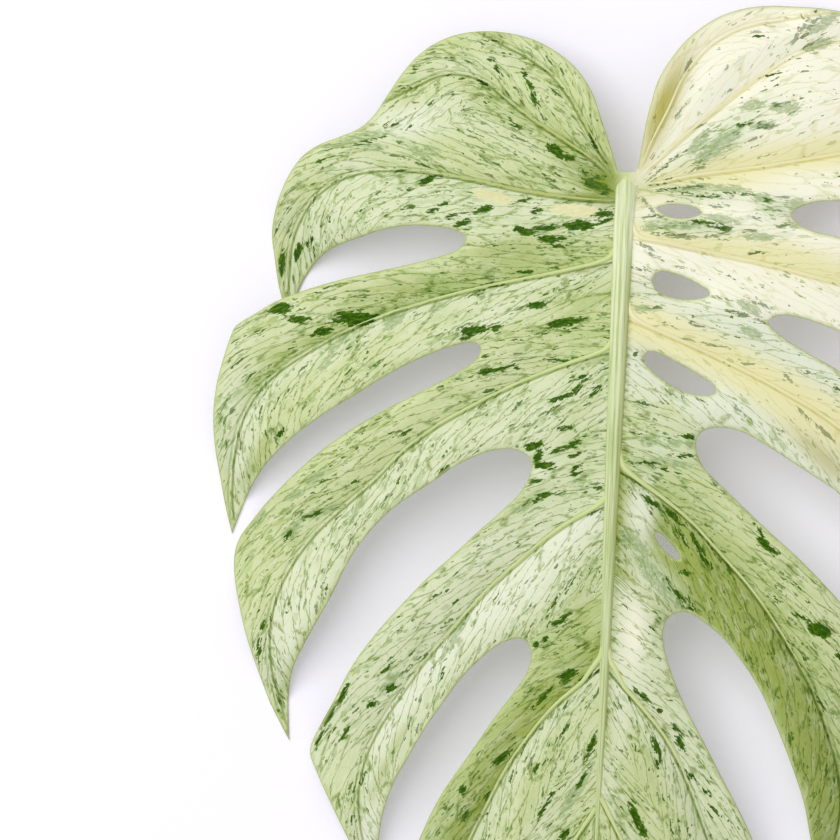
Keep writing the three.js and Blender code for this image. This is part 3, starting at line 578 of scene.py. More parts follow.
neighbours = [set() for _ in range(count)]
for p, q, r in triangles.tolist():
    neighbours[p] |= {q, r}
    neighbours[q] |= {p, r}
    neighbours[r] |= {p, q}
tint = {name: np.array([*linear(code), mottle, dashes])
        for name, (code, mottle, dashes) in TINTS.items()}
flow = np.zeros((len(triangles), 3, 3))
ground = np.zeros((len(triangles), 3, 5))
middle = plan[triangles].mean(1)
for half, made in halves.items():
    sign = 1 if half == "left" else -1
    mine = (middle[:, 0] < MIDRIB_X) == (half == "left")
    faces = triangles[mine]
    corner_ids = faces.ravel()
    tests = [measured(plan, thinned(line, 2)) for line in made["run_on"]]
    gaps, along, side = (np.array(part) for part in zip(*tests))
    below = side * sign > 0
    face_gaps, _, face_side = (np.array(part) for part in zip(
        *[measured(middle[mine], thinned(line, 2)) for line in made["run_on"]]))
    on_half = (plan[:, 0] - MIDRIB_X) * sign <= 0.01
    owner = owner_veins([np.flatnonzero(on_half & (gap < 0.3)) for gap in gaps], on_half)

    # Each triangle goes by the nearest of the veins that own its corners.
    candidate = face_gaps[owner[faces].T, np.arange(len(faces))]
    nearest = owner[faces][np.arange(len(faces)), candidate.argmin(0)]
    face_below = face_side[nearest, np.arange(len(nearest))] * sign > 0
    near3, below3 = np.repeat(nearest, 3), np.repeat(face_below, 3)
    d, s = gaps[near3, corner_ids], along[near3, corner_ids]
    cell = 2 * near3 + below3 + (RIGHT_PATTERNS if half == "right" else 0)
    flow[mine] = np.stack([
        s * math.cos(FINE_VEIN_TURN) + d * math.sin(FINE_VEIN_TURN) + PATTERN_APART * cell,
        s * math.sin(FINE_VEIN_TURN) - d * math.cos(FINE_VEIN_TURN),
        np.where(below3, d, -d)], axis=-1).reshape(-1, 3, 3)

    # The ground blends softly from vein to vein, but changes at once across its own vein.
    weight = 1 / (gaps ** 2 + 6) ** 2
    weight[gaps < gaps[owner, np.arange(count)] - 1] = 0
    blend = ease(gaps, NEAR_VEIN, FAR_FROM_VEIN)[..., None]
    tones = np.array([[tint[name] for name in row] for row in GROUND[half]])[:, :, None]
    above_tone = tones[:, 0] * (1 - blend) + tones[:, 1] * blend
    below_tone = tones[:, 2] * (1 - blend) + tones[:, 3] * blend
    own_tone = np.where(below[..., None], below_tone, above_tone)
    swapped = np.where(below3[:, None], below_tone[near3, corner_ids],
                       above_tone[near3, corner_ids])
    mixed = ((weight[..., None] * own_tone).sum(0)[corner_ids]
             + weight[near3, corner_ids][:, None] * (swapped - own_tone[near3, corner_ids]))
    ground[mine] = (mixed / weight.sum(0)[corner_ids][:, None]).reshape(-1, 3, 5)
for (name, *mark), share in zip(STRETCHES, over(seen, [row[1:6] for row in STRETCHES])):
    reach = np.exp(-((1 - share) ** 2) * STRETCH_EDGE) * mark[-1]
    reach = np.where(reach > 0.02, reach, 0)[triangles][..., None]
    ground += reach * (tint[name] - ground)

upper, lower = triangles, triangles[:, ::-1] + count
rim = []
for p, q in edge_sides:
    p, q = int(rank[p]), int(rank[q])
    rim += [(p, p + count, q), (q, p + count, q + count)]
rim = np.array(rim)
shell = np.vstack([np.column_stack([metres, (low + lift) / 1000])
                   for lift in (BLADE_TOP, BLADE_BOTTOM)])
faces = np.vstack([upper, lower, rim])
mesh = bpy.data.meshes.new("leaf_blade")
mesh.vertices.add(len(shell))
mesh.vertices.foreach_set("co", shell.astype(np.float32).ravel())
mesh.loops.add(faces.size)
mesh.loops.foreach_set("vertex_index", faces.astype(np.int32).ravel())
mesh.polygons.add(len(faces))
mesh.polygons.foreach_set("loop_start", np.arange(0, faces.size, 3, dtype=np.int32))
mesh.polygons.foreach_set("use_smooth", np.arange(len(faces)) < len(upper) * 2)
mesh.update(calc_edges=True)


def put(name, kind, domain, values):
    """Stores a value for every corner or point of the blade."""
    field = "color" if kind == "FLOAT_COLOR" else "vector" if kind == "FLOAT_VECTOR" else "value"
    layer = mesh.attributes.new(name, kind, domain)
    layer.data.foreach_set(field, np.asarray(values, np.float32).ravel())


def on_all_corners(values):
    """Values for the upper face's corners, carried to the lower face and the rim."""
    at_point = np.zeros((count, values.shape[-1]))
    at_point[triangles.ravel()] = values.reshape(-1, values.shape[-1])
    return np.vstack([values.reshape(-1, values.shape[-1]),
                      values[:, ::-1].reshape(-1, values.shape[-1]),
                      at_point[rim.ravel() % count]])


# "greenness" is how many blocks and dashes there are, and how far from the joint the corner lies,
# because fine veins and shade lines fade out there. "edges" is the distance from the margin, 1 on
# the underside, and the brown scars.
corner_ground = on_all_corners(ground)
off_joint = np.tile(ease(np.hypot(seen[:, 0] + 0.4, seen[:, 1] + 2), 4, 12), 2)[faces.ravel()]
put("flow", "FLOAT_VECTOR", "CORNER", on_all_corners(flow))
put("ground", "FLOAT_COLOR", "CORNER",
    np.column_stack([corner_ground[:, :3], np.ones(len(corner_ground))]))
put("greenness", "FLOAT_VECTOR", "CORNER", np.column_stack([corner_ground[:, 3:], off_joint]))
put("flecks", "FLOAT_VECTOR", "POINT", np.column_stack([
    np.tile(fleck_field(seen, flecks), 2) for flecks in (DARK_FLECKS, SAGE_FLECKS, CREAM_FLECKS)]))
put("edges", "FLOAT_VECTOR", "POINT", np.column_stack([
    np.tile(edge_gap, 2), np.repeat([0.0, 1.0], count),
    np.tile(fleck_field(seen, BROWN_FLECKS), 2)]))

# The upper face is laid out flat at one scale and the lower one, smaller, in the strip beside it.
# The rim's faces stand out as a narrow band from the margin.
UPPER_SCALE, UPPER_AT, LOWER_SCALE, LOWER_AT, RIM_BAND = 2.48, 0.004, 0.78, (0.762, 0.004), 0.0012
flat = (plan - plan.min(0)) / 1000
laid = np.vstack([flat * UPPER_SCALE + UPPER_AT, flat * LOWER_SCALE + LOWER_AT])
sheet = mesh.uv_layers.new(name="OFBake")
uv = laid[faces.ravel()]
rim_uv = laid[rim.ravel() % count].reshape(-1, 3, 2)
for k, face in enumerate(rim):
    spot = rim_uv[k].copy()
    run = spot[face % count != face[0] % count][0] - spot[0] if k % 2 == 0 else spot[0] - spot[1]
    normal = np.array([run[1], -run[0]]) / max(np.hypot(*run), 1e-9)
    rim_uv[k] += np.where(face >= count, 1.0, 0.0)[:, None] * normal * RIM_BAND
uv[len(triangles) * 6:] = rim_uv.reshape(-1, 2)
sheet.data.foreach_set("uv", uv.astype(np.float32).ravel())
mesh.validate()
blade = bpy.data.objects.new("leaf_blade", mesh)
bpy.context.scene.collection.objects.link(blade)

# ---- The finish of the blade --------------------------------------------------------------------
# Living leaf skin over green cells: a waxy, half-matt sheen. Where the cells have no green it is
# cream, where they have some it is sage, and whole blocks between the fine veins are deep green.


def add(tree, kind, feeds=None, **settings):
    """Adds a node with its settings, and feeds its sockets from other nodes or plain values."""
    made = tree.nodes.new(kind)
    for name, value in settings.items():
        setattr(made, name, value)
    for socket, feed in (feeds or {}).items():
        if isinstance(feed, bpy.types.NodeSocket):
            tree.links.new(feed, made.inputs[socket])
        else:
            made.inputs[socket].default_value = feed
    return made


def new_finish(name):
    """A bare material with its node tree."""
    finish = bpy.data.materials.new(name)
    finish.use_nodes = True
    finish.node_tree.nodes.clear()
    return finish, finish.node_tree


def tone(code):
    return (*linear(code), 1)


MIXED = {"data_type": "RGBA"}
SHADED = {"data_type": "RGBA", "blend_type": "MULTIPLY"}
FLAT = {"noise_dimensions": "2D"}
CELLS = {"voronoi_dimensions": "2D"}
TIMES = {"operation": "MULTIPLY"}
TIMES_PLUS = {"operation": "MULTIPLY_ADD"}

leaf_skin, t = new_finish("variegated_leaf_skin")
known = {name: add(t, "ShaderNodeAttribute", attribute_name=name).outputs["Vector"]
         for name in ("flow", "greenness", "flecks", "edges")}
flow_at = known["flow"]
mottled, dashed, off_joint = add(t, "ShaderNodeSeparateXYZ", {0: known["greenness"]}).outputs
dark, sage, cream = add(t, "ShaderNodeSeparateXYZ", {0: known["flecks"]}).outputs
from_edge, under, brown = add(t, "ShaderNodeSeparateXYZ", {0: known["edges"]}).outputs
from_vein = add(t, "ShaderNodeSeparateXYZ", {0: flow_at}).outputs[2]
colour = add(t, "ShaderNodeAttribute", attribute_name="ground").outputs["Color"]

# Everything is pushed about a little, so no line is straight.
push = add(t, "ShaderNodeTexNoise", {
    "Vector": add(t, "ShaderNodeMapping", {"Vector": flow_at, "Scale": (0.16, 0.3, 1)}).outputs[0],
    "Scale": 1.0, "Detail": 2.0}, **FLAT).outputs["Color"]
push = add(t, "ShaderNodeVectorMath", {0: push, 1: (-0.5, -0.5, -0.5)}, operation="ADD").outputs[0]
push = add(t, "ShaderNodeVectorMath", {0: push, 1: (3.0, 1.7, 0)}, **TIMES).outputs[0]
bent = add(t, "ShaderNodeVectorMath", {0: flow_at, 1: push}, operation="ADD").outputs[0]

# Soft noise of four sizes along and across the fine veins: ragged edges of 2 by 0.7 mm, streaks of
# 30 by 8 mm, clumps of 20 by 9 mm, and cloudy patches of 12 by 3 mm.
ragged, broad, clump, cloudy = (add(t, "ShaderNodeTexNoise", {
    "Vector": add(t, "ShaderNodeMapping", {"Vector": place, "Scale": size}).outputs[0],
    "Scale": 1.0, "Detail": detail, "Roughness": rough}, **FLAT).outputs[0]
    for place, size, detail, rough in (
        (flow_at, (0.45, 1.3, 1), 2.5, 0.6), (flow_at, (0.035, 0.12, 1), 2.0, 0.5),
        (flow_at, (0.05, 0.11, 1), 2.0, 0.5), (bent, (0.09, 0.36, 1), 4.0, 0.62)))
clump = add(t, "ShaderNodeMapRange", {0: clump, 1: 0.36, 2: 0.66, 3: 0.25, 4: 1.9}).outputs[0]
rich = add(t, "ShaderNodeMapRange", {0: mottled, 1: 0.12, 2: 0.32}).outputs[0]

# Patches with more green keep only these shares of red, green and blue, and others are bleached.
GREENED, BLEACHED = (0.70, 0.78, 0.54, 1), tone("#edf1da")
for source, low_end, high_end, strength, where, towards, way in (
        (broad, 0.50, 0.28, 0.34, mottled, GREENED, SHADED),
        (cloudy, 0.49, 0.36, 0.30, mottled, GREENED, SHADED),
        (ragged, 0.46, 0.34, 0.26, mottled, GREENED, SHADED),
        (broad, 0.50, 0.75, 0.15, rich, BLEACHED, MIXED),
        (cloudy, 0.54, 0.68, 0.20, rich, BLEACHED, MIXED)):
    patch = add(t, "ShaderNodeMapRange", {
        0: source, 1: low_end, 2: high_end, 3: 0.0, 4: strength}).outputs[0]
    patch = add(t, "ShaderNodeMath", {0: patch, 1: where}, **TIMES).outputs[0]
    colour = add(t, "ShaderNodeMix", {0: patch, 6: colour, 7: towards}, **way).outputs[2]

# Fine veins bound long cells, 28 by 3 mm, and fainter ones bound short cells, 6 by 2 mm.
shows = add(t, "ShaderNodeMapRange", {0: ragged, 1: 0.36, 2: 0.54, 3: 0.25, 4: 1.0}).outputs[0]
line_depths = []
for size, width, strength in (((0.035, 0.32, 1), 0.07, 0.80), ((0.15, 0.5, 1), 0.05, 0.18)):
    stretched = add(t, "ShaderNodeMapping", {"Vector": bent, "Scale": size}).outputs[0]
    veinlet = add(t, "ShaderNodeTexVoronoi", {"Vector": stretched, "Scale": 1.0},
                  feature="DISTANCE_TO_EDGE", **CELLS).outputs["Distance"]
    drawn = add(t, "ShaderNodeMapRange", {
        0: veinlet, 1: width, 2: width * 0.3, 3: 0.0, 4: strength}).outputs[0]
    for share in (shows, off_joint):
        drawn = add(t, "ShaderNodeMath", {0: drawn, 1: share}, **TIMES).outputs[0]
    line_depths.append(drawn)
line_depth = add(t, "ShaderNodeMath", dict(enumerate(line_depths)), operation="MAXIMUM").outputs[0]

# Blocks of a few cells that hold more green: 7 by 2.4 mm, 3 by 1.1 mm and 1.6 by 0.6 mm. The
# deepest keep these shares of red, green and blue.
for size, share, strength, shade in (((0.13, 0.42, 1), 0.22, 0.50, (0.66, 0.76, 0.56, 1)),
                                     ((0.30, 0.95, 1), 0.22, 0.75, (0.55, 0.66, 0.38, 1)),
                                     ((0.6, 1.6, 1), 0.18, 0.85, (0.46, 0.57, 0.30, 1))):
    stretched = add(t, "ShaderNodeMapping", {"Vector": bent, "Scale": size}).outputs[0]
    block = add(t, "ShaderNodeTexVoronoi", {"Vector": stretched, "Scale": 1.0},
                distance="MANHATTAN", **CELLS)
    drawn = add(t, "ShaderNodeSeparateXYZ", {0: block.outputs["Color"]})
    limit = add(t, "ShaderNodeMath", {0: mottled, 1: share}, **TIMES).outputs[0]
    limit = add(t, "ShaderNodeMath", {0: limit, 1: clump}, **TIMES).outputs[0]
    filled = add(t, "ShaderNodeMath", {0: drawn.outputs[0], 1: limit},
                 operation="LESS_THAN").outputs[0]
    depth = add(t, "ShaderNodeMapRange", {
        0: drawn.outputs[1], 3: strength * 0.3, 4: strength}).outputs[0]
    depth = add(t, "ShaderNodeMath", {0: depth, 1: filled}, **TIMES).outputs[0]
    colour = add(t, "ShaderNodeMix", {0: depth, 6: colour, 7: shade}, **SHADED).outputs[2]

line_tone = add(t, "ShaderNodeMix", {
    0: rich, 6: (0.86, 0.84, 0.68, 1), 7: (0.34, 0.44, 0.14, 1)}, **MIXED).outputs[2]
colour = add(t, "ShaderNodeMix", {0: line_depth, 6: colour, 7: line_tone}, **SHADED).outputs[2]

# Dark dashes: one in some cells of three nets, 7, 4 and 2 mm long at the most and thin.
for size, share, code in (((0.085, 0.55, 1), 0.42, "#40640a"), ((0.17, 0.8, 1), 0.42, "#4a6c14"),
                          ((0.42, 1.2, 1), 0.22, "#496b16")):
    stretched = add(t, "ShaderNodeMapping", {"Vector": bent, "Scale": size}).outputs[0]
    dash = add(t, "ShaderNodeTexVoronoi", {"Vector": stretched, "Scale": 1.0}, **CELLS)
    drawn = add(t, "ShaderNodeSeparateXYZ", {0: dash.outputs["Color"]})
    limit = add(t, "ShaderNodeMath", {0: dashed, 1: share}, **TIMES).outputs[0]
    limit = add(t, "ShaderNodeMath", {0: limit, 1: clump}, **TIMES).outputs[0]
    there = add(t, "ShaderNodeMath", {0: drawn.outputs[0], 1: limit},
                operation="LESS_THAN").outputs[0]
    reach = add(t, "ShaderNodeMapRange", {0: drawn.outputs[1], 3: 0.07, 4: 0.34}).outputs[0]
    worn = add(t, "ShaderNodeMath", {0: ragged, 1: 1.3, 2: -0.6}, **TIMES_PLUS).outputs[0]
    reach = add(t, "ShaderNodeMath", {0: reach, 1: worn}, operation="SUBTRACT").outputs[0]
    inside = add(t, "ShaderNodeMath", {0: dash.outputs["Distance"], 1: reach},
                 operation="LESS_THAN").outputs[0]
    depth = add(t, "ShaderNodeMapRange", {0: drawn.outputs[2], 3: 0.45, 4: 1.0}).outputs[0]
    for limited in (inside, there):
        depth = add(t, "ShaderNodeMath", {0: depth, 1: limited}, **TIMES).outputs[0]
    colour = add(t, "ShaderNodeMix", {0: depth, 6: colour, 7: tone(code)}, **MIXED).outputs[2]

# The flecks set one by one: cream, sage, dark and the few brown scars. Small cells and the ragged
# noise bite into their edges, and each runs from one tone to another.
stretched = add(t, "ShaderNodeMapping", {"Vector": bent, "Scale": (0.55, 1.7, 1)}).outputs[0]
bite = add(t, "ShaderNodeTexVoronoi", {"Vector": stretched, "Scale": 1.0},
           distance="MANHATTAN", **CELLS)
bite = add(t, "ShaderNodeSeparateXYZ", {0: bite.outputs["Color"]}).outputs[0]
wear = add(t, "ShaderNodeMath", {0: ragged, 1: 1.6, 2: -1.28}, **TIMES_PLUS).outputs[0]
wear = add(t, "ShaderNodeMath", {0: bite, 1: 1.1, 2: wear}, **TIMES_PLUS).outputs[0]
turned = add(t, "ShaderNodeMapRange", {0: ragged, 1: 0.46, 2: 0.7}).outputs[0]
for source, rough, low_code, high_code, strength in (
        (cream, 0.35, "#dfdba4", "#e9e6ba", 0.9), (sage, 1.0, "#86a060", "#c4d2a6", 0.64),
        (dark, 0.8, "#2c5200", "#567c10", 1.0), (brown, 0.3, "#8a4a34", "#a0693f", 0.8)):
    torn = add(t, "ShaderNodeMath", {0: wear, 1: rough, 2: source}, **TIMES_PLUS).outputs[0]
    inside = add(t, "ShaderNodeMapRange", {
        0: torn, 1: -0.1, 2: 0.16, 3: 0.0, 4: strength}).outputs[0]
    if source == dark:
        soft = add(t, "ShaderNodeMapRange", {0: rich, 3: 0.62, 4: 1.0}).outputs[0]
        inside = add(t, "ShaderNodeMath", {0: inside, 1: soft}, **TIMES).outputs[0]
    fleck_tone = add(t, "ShaderNodeMix", {
        0: turned, 6: tone(low_code), 7: tone(high_code)}, **MIXED).outputs[2]
    colour = add(t, "ShaderNodeMix", {0: inside, 6: colour, 7: fleck_tone}, **MIXED).outputs[2]

# Along each vein a dark line lies just below the cord, partly the vein's own olive edge and partly
# painted shade beside the raised cord, and a fainter one above it.
edge_and_painted_shade_tone = add(t, "ShaderNodeMix", {
    0: rich, 6: (0.80, 0.76, 0.52, 1), 7: (0.36, 0.44, 0.16, 1)}, **MIXED).outputs[2]
for place, half_line, strength in ((0.9, 0.7, 0.9), (-0.75, 0.45, 0.45)):
    beside = add(t, "ShaderNodeMath", {0: from_vein, 1: place}, operation="SUBTRACT").outputs[0]
    beside = add(t, "ShaderNodeMath", {0: beside}, operation="ABSOLUTE").outputs[0]
    beside = add(t, "ShaderNodeMapRange", {
        0: beside, 1: half_line, 2: half_line * 0.3, 3: 0.0, 4: strength}).outputs[0]
    beside = add(t, "ShaderNodeMath", {0: beside, 1: off_joint}, **TIMES).outputs[0]
    colour = add(t, "ShaderNodeMix", {0: beside, 6: colour, 7: edge_and_painted_shade_tone}, **SHADED).outputs[2]

# Along the margin runs a thin yellow-green band with a dull outer edge, and the underside is duller
# and paler all over.
for source, none_at, full_at, strength, code in (
        (from_edge, 1.5, 0.5, 0.6, "#cdd996"), (from_edge, 0.45, 0.05, 0.6, "#a3ad6a"),
        (under, 0.0, 1.0, 0.5, "#c3cfa6")):
    band = add(t, "ShaderNodeMapRange", {
        0: source, 1: none_at, 2: full_at, 3: 0.0, 4: strength}).outputs[0]
    colour = add(t, "ShaderNodeMix", {0: band, 6: colour, 7: tone(code)}, **MIXED).outputs[2]

# Fine veins are sunk a fifth of a millimetre at the most, in gently uneven skin.
relief = add(t, "ShaderNodeMath", {0: line_depth, 1: -1.0}, **TIMES).outputs[0]
relief = add(t, "ShaderNodeMath", {0: ragged, 1: 0.5, 2: relief}, **TIMES_PLUS).outputs[0]
dents = add(t, "ShaderNodeBump", {"Strength": 0.35, "Distance": 0.0002, "Height": relief})
skin = add(t, "ShaderNodeBsdfPrincipled", {"Base Color": colour, "Roughness": 0.46, "IOR": 1.45,
                                           "Specular IOR Level": 0.09, "Normal": dents.outputs[0]})
add(t, "ShaderNodeOutputMaterial", {"Surface": skin.outputs[0]})
mesh.materials.append(leaf_skin)
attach(blade, "root")
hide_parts("leaf")

# ---- The side veins -----------------------------------------------------------------------------
# Cords of tough tissue that taper from the midrib to the lobe ends. Each stands a little over the
# upper face and further out of the underside, and is one swept cord that runs into the midrib.


def cord_tree():
    """Sweeps an oval of many corners along drawn lines, as wide as each point's half width."""
    tree = bpy.data.node_groups.new("tapered_cords", "GeometryNodeTree")
    for name, way, kind in (
            ("Lines", "INPUT", "Geometry"), ("Corners round", "INPUT", "Int"),
            ("Depth over width", "INPUT", "Float"), ("Flutes", "INPUT", "Float"),
            ("Flute depth", "INPUT", "Float"), ("Finish", "INPUT", "Material"),
            ("Cords", "OUTPUT", "Geometry")):
        tree.interface.new_socket(name, in_out=way, socket_type="NodeSocket" + kind)
    given = add(tree, "NodeGroupInput").outputs
    lines = add(tree, "GeometryNodeMeshToCurve", {"Mesh": given["Lines"]}).outputs[0]
    width = add(tree, "GeometryNodeInputNamedAttribute", {"Name": "half_width"},
                data_type="FLOAT").outputs[0]
    run = add(tree, "GeometryNodeSplineParameter").outputs["Length"]
    lines = add(tree, "GeometryNodeStoreNamedAttribute",
                {"Geometry": lines, "Name": "along", "Value": run},
                data_type="FLOAT", domain="POINT").outputs[0]
    oval = add(tree, "GeometryNodeCurvePrimitiveCircle",
               {"Resolution": given["Corners round"], "Radius": 1.0}).outputs[0]
    turn = add(tree, "GeometryNodeSplineParameter").outputs["Factor"]
    oval = add(tree, "GeometryNodeStoreNamedAttribute",
               {"Geometry": oval, "Name": "around", "Value": turn},
               data_type="FLOAT", domain="POINT").outputs[0]
    wave = add(tree, "ShaderNodeMath", {0: turn, 1: given["Flutes"]}, **TIMES).outputs[0]
    wave = add(tree, "ShaderNodeMath", {0: wave, 1: math.tau}, **TIMES).outputs[0]
    wave = add(tree, "ShaderNodeMath", {0: wave}, operation="COSINE").outputs[0]
    wave = add(tree, "ShaderNodeMath", {0: wave, 1: given["Flute depth"], 2: 1.0},
               **TIMES_PLUS).outputs[0]
    place = add(tree, "GeometryNodeInputPosition").outputs[0]
    place = add(tree, "ShaderNodeVectorMath", {0: place, "Scale": wave},
                operation="SCALE").outputs[0]
    oval = add(tree, "GeometryNodeSetPosition", {"Geometry": oval, "Position": place}).outputs[0]
    stretch = add(tree, "ShaderNodeCombineXYZ",
                  {0: given["Depth over width"], 1: 1.0, 2: 1.0}).outputs[0]
    oval = add(tree, "GeometryNodeTransform",
               {"Geometry": oval, "Rotation": (0, 0, -math.pi / 2), "Scale": stretch}).outputs[0]
    cords = add(tree, "GeometryNodeCurveToMesh", {
        "Curve": lines, "Profile Curve": oval, "Scale": width, "Fill Caps": True}).outputs[0]
    cords = add(tree, "GeometryNodeSetMaterial",
                {"Geometry": cords, "Material": given["Finish"]}).outputs[0]
    cords = add(tree, "GeometryNodeRealizeInstances", {"Geometry": cords}).outputs[0]
    add(tree, "NodeGroupOutput", {"Cords": cords})
    return tree


def sweep(name, tree, lines, finish, sizes):
    """One plain mesh swept along lines, each given as its points, half widths and paleness."""
    drawn = bpy.data.meshes.new(name + "_lines")
    ends = np.cumsum([len(points) for points, *_ in lines])
    edges = [(k, k + 1) for k in range(ends[-1] - 1) if k + 1 not in ends]
    drawn.from_pydata(np.vstack([points for points, *_ in lines]).tolist(), edges, [])
    for k, key in enumerate(("half_width", "pale"), 1):
        drawn.attributes.new(key, "FLOAT", "POINT").data.foreach_set(
            "value", np.concatenate([line[k] for line in lines]).astype(np.float32))
    maker = bpy.data.objects.new(name + "_maker", drawn)
    bpy.context.scene.collection.objects.link(maker)
    modifier = maker.modifiers.new("cords", "NODES")
    modifier.node_group = tree
    inputs = {socket.name: socket.identifier for socket in tree.interface.items_tree
              if socket.in_out == "INPUT"}
    for key, value in {**sizes, "Finish": finish}.items():
        modifier[inputs[key]] = value
    bpy.context.view_layer.update()
    made = maker.evaluated_get(bpy.context.evaluated_depsgraph_get())
    swept = bpy.data.meshes.new_from_object(made)
    bpy.data.objects.remove(maker)
    swept.name = name
    swept.polygons.foreach_set("use_smooth", np.ones(len(swept.polygons), bool))
    piece = bpy.data.objects.new(name, swept)
    bpy.context.scene.collection.objects.link(piece)
    return piece


def in_place(points, heights):
    """Plan points and heights in millimetres as places in the frame, in metres."""
    return np.column_stack([(points - centre) / 1000, np.asarray(heights) / 1000])


# Smooth tough cords, green-yellow on the green lobes and butter-coloured on the cream ones, with
# faint streaks along them from the strands inside.
vein_skin, t = new_finish("vein_cord_skin")
along, around, pale = (add(t, "ShaderNodeAttribute", attribute_name=name).outputs["Fac"]
                       for name in ("along", "around", "pale"))
strand = add(t, "ShaderNodeCombineXYZ", {0: along, 1: around}).outputs[0]
strand = add(t, "ShaderNodeMapping", {"Vector": strand, "Scale": (60, 9, 1)}).outputs[0]
streak = add(t, "ShaderNodeTexNoise", {"Vector": strand, "Scale": 1.0, "Detail": 2.0},
             **FLAT).outputs[0]
colour, deeper = (
    add(t, "ShaderNodeMix", {0: pale, 6: tone(green), 7: tone(butter)}, **MIXED).outputs[2]
    for green, butter in (("#cddb94", "#f1ecbc"), ("#a5b964", "#e0d89a")))
dull = add(t, "ShaderNodeMapRange", {0: pale, 1: 0.0, 2: -1.0}).outputs[0]
colour = add(t, "ShaderNodeMix", {0: dull, 6: colour, 7: tone("#b3ba5e")}, **MIXED).outputs[2]
amount = add(t, "ShaderNodeMapRange", {0: streak, 1: 0.45, 2: 0.7, 3: 0.0, 4: 0.6}).outputs[0]
colour = add(t, "ShaderNodeMix", {0: amount, 6: colour, 7: deeper}, **MIXED).outputs[2]
dents = add(t, "ShaderNodeBump", {"Strength": 0.2, "Distance": 0.0001, "Height": streak})
skin = add(t, "ShaderNodeBsdfPrincipled", {
    "Base Color": colour, "Roughness": 0.42, "IOR": 1.45, "Normal": dents.outputs[0]})
add(t, "ShaderNodeOutputMaterial", {"Surface": skin.outputs[0]})

MIDRIB_BASE, MIDRIB_END, MIDRIB_LENGTH = 4.0, 0.45, 285


def midrib_half_width(y):
    share = np.maximum(-y, 0) / MIDRIB_LENGTH
    return MIDRIB_END + MIDRIB_BASE * np.maximum(1 - share ** 1.3, 0)


def leaving(x, y, far_x, far_y):
    """A vein's first stretch: it runs down the midrib's flank and then turns out from it."""
    side = math.copysign(1, x)
    return [(MIDRIB_X + side * 0.3 * midrib_half_width(y + 9), y + 9),
            (MIDRIB_X + side * (0.75 * midrib_half_width(y + 3)), y + 3.4),
            (MIDRIB_X + side * (midrib_half_width(y) + 1.6), y + 0.1), (far_x, far_y)]


# Half widths at the base and paleness, from the stalk's end of the leaf to its tip. A cord reaches
# nearly to the lobe's end. It is wider where it leaves the midrib, and it sinks into the blade
# towards the lobe's end, as those at the joint do where they start.
REACH, CORD_END, FLARE, PROUD = 0.97, 0.17, 0.55, 0.85
cords = cord_tree()
vein_lines = []
for half, base_widths, paleness in (
        ("left", (0.5, 0.6, 0.75, 0.95, 0.95, 0.95, 0.85, 0.6), (-1, -1, -1, -0.1, 0, 0, 0, 0)),
        ("right", (0.5, 0.75, 0.85, 0.9, 0.9, 0.9, 0.8, 0.6),
         (0.9, 0.9, 1, 1, 1, 0.15, 0.3, 0.2))):
    for line, base, light in zip(halves[half]["veins"], base_widths, paleness):
        inner = line[:int(len(line) * REACH)]
        from_joint = inner[0, 1] > -15
        if not from_joint and base > 0.6:
            start = smooth_line(leaving(*inner[0], *inner[7]), VEIN_STEP)
            inner = np.vstack([start[:-1], inner[7:]])
        share = np.linspace(0, REACH, len(inner))
        half_width = base * (1 - share) ** 0.9 + CORD_END
        if from_joint:
            sunk = (1 - ease(np.hypot(*inner.T), 5, 38)) * 0.45 * half_width
        else:
            half_width *= 1 + FLARE * np.exp(-np.maximum(np.abs(inner[:, 0]) - 4, 0) / 5)
            sunk = 0
        sunk = sunk + ease(share, 0.35, 0.8) * 0.75 * half_width
        top = leaf_height(inner) + BLADE_TOP
        vein_lines.append((in_place(tucked(inner), top - PROUD * half_width - sunk),
                           half_width / 1000,
                           light * np.linspace(1, 0.5 if light < 0 else 1, len(inner))))
side_veins = sweep("side_veins", cords, vein_lines, vein_skin, {
    "Corners round": 12, "Depth over width": 1.25, "Flutes": 0.0, "Flute depth": 0.0})
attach(side_veins, "root")

# ---- The midrib and the stalk's stub ------------------------------------------------------------
# The leaf's backbone, a thick fluted cord that tapers from the joint to the tip. At the joint it
# turns down through a knee into a short stub of stalk, cut off just clear of the surface.
STALK, FLUTES, PAST_KNEE = 3.9, 11.0, -12
ridge = np.array([[MIDRIB_X, -y] for y in [18, 26, *range(36, 316, 12), 316]], float)
ridge_z = leaf_height(ridge) + BLADE_BOTTOM - 0.35 * midrib_half_width(ridge[:, 1])
knee_z = leaf_height(np.array([[MIDRIB_X, -10.0]]))[0]
knee = [(0, -7.5, 3), (0, -4.6, knee_z * 0.35), (0, -2.9, knee_z * 0.62), (0, -2.4, knee_z - 8.8),
        (-0.05, -4.2, knee_z - 3.7), (-0.1, -8, knee_z - 1.6), (-0.2, -13, knee_z - 1.0)]
backbone = smooth_line([*knee, *zip(*ridge.T, ridge_z)], 1.5)
backbone[:, 0] -= 0.5 * ease(backbone[:, 1], -200, -110)
on_ridge = ease(backbone[:, 2], knee_z - 12, knee_z - 3)
past_knee = backbone[:, 1] < PAST_KNEE
half_width = STALK + (midrib_half_width(backbone[:, 1]) - STALK) * np.where(past_knee, 1, on_ridge)
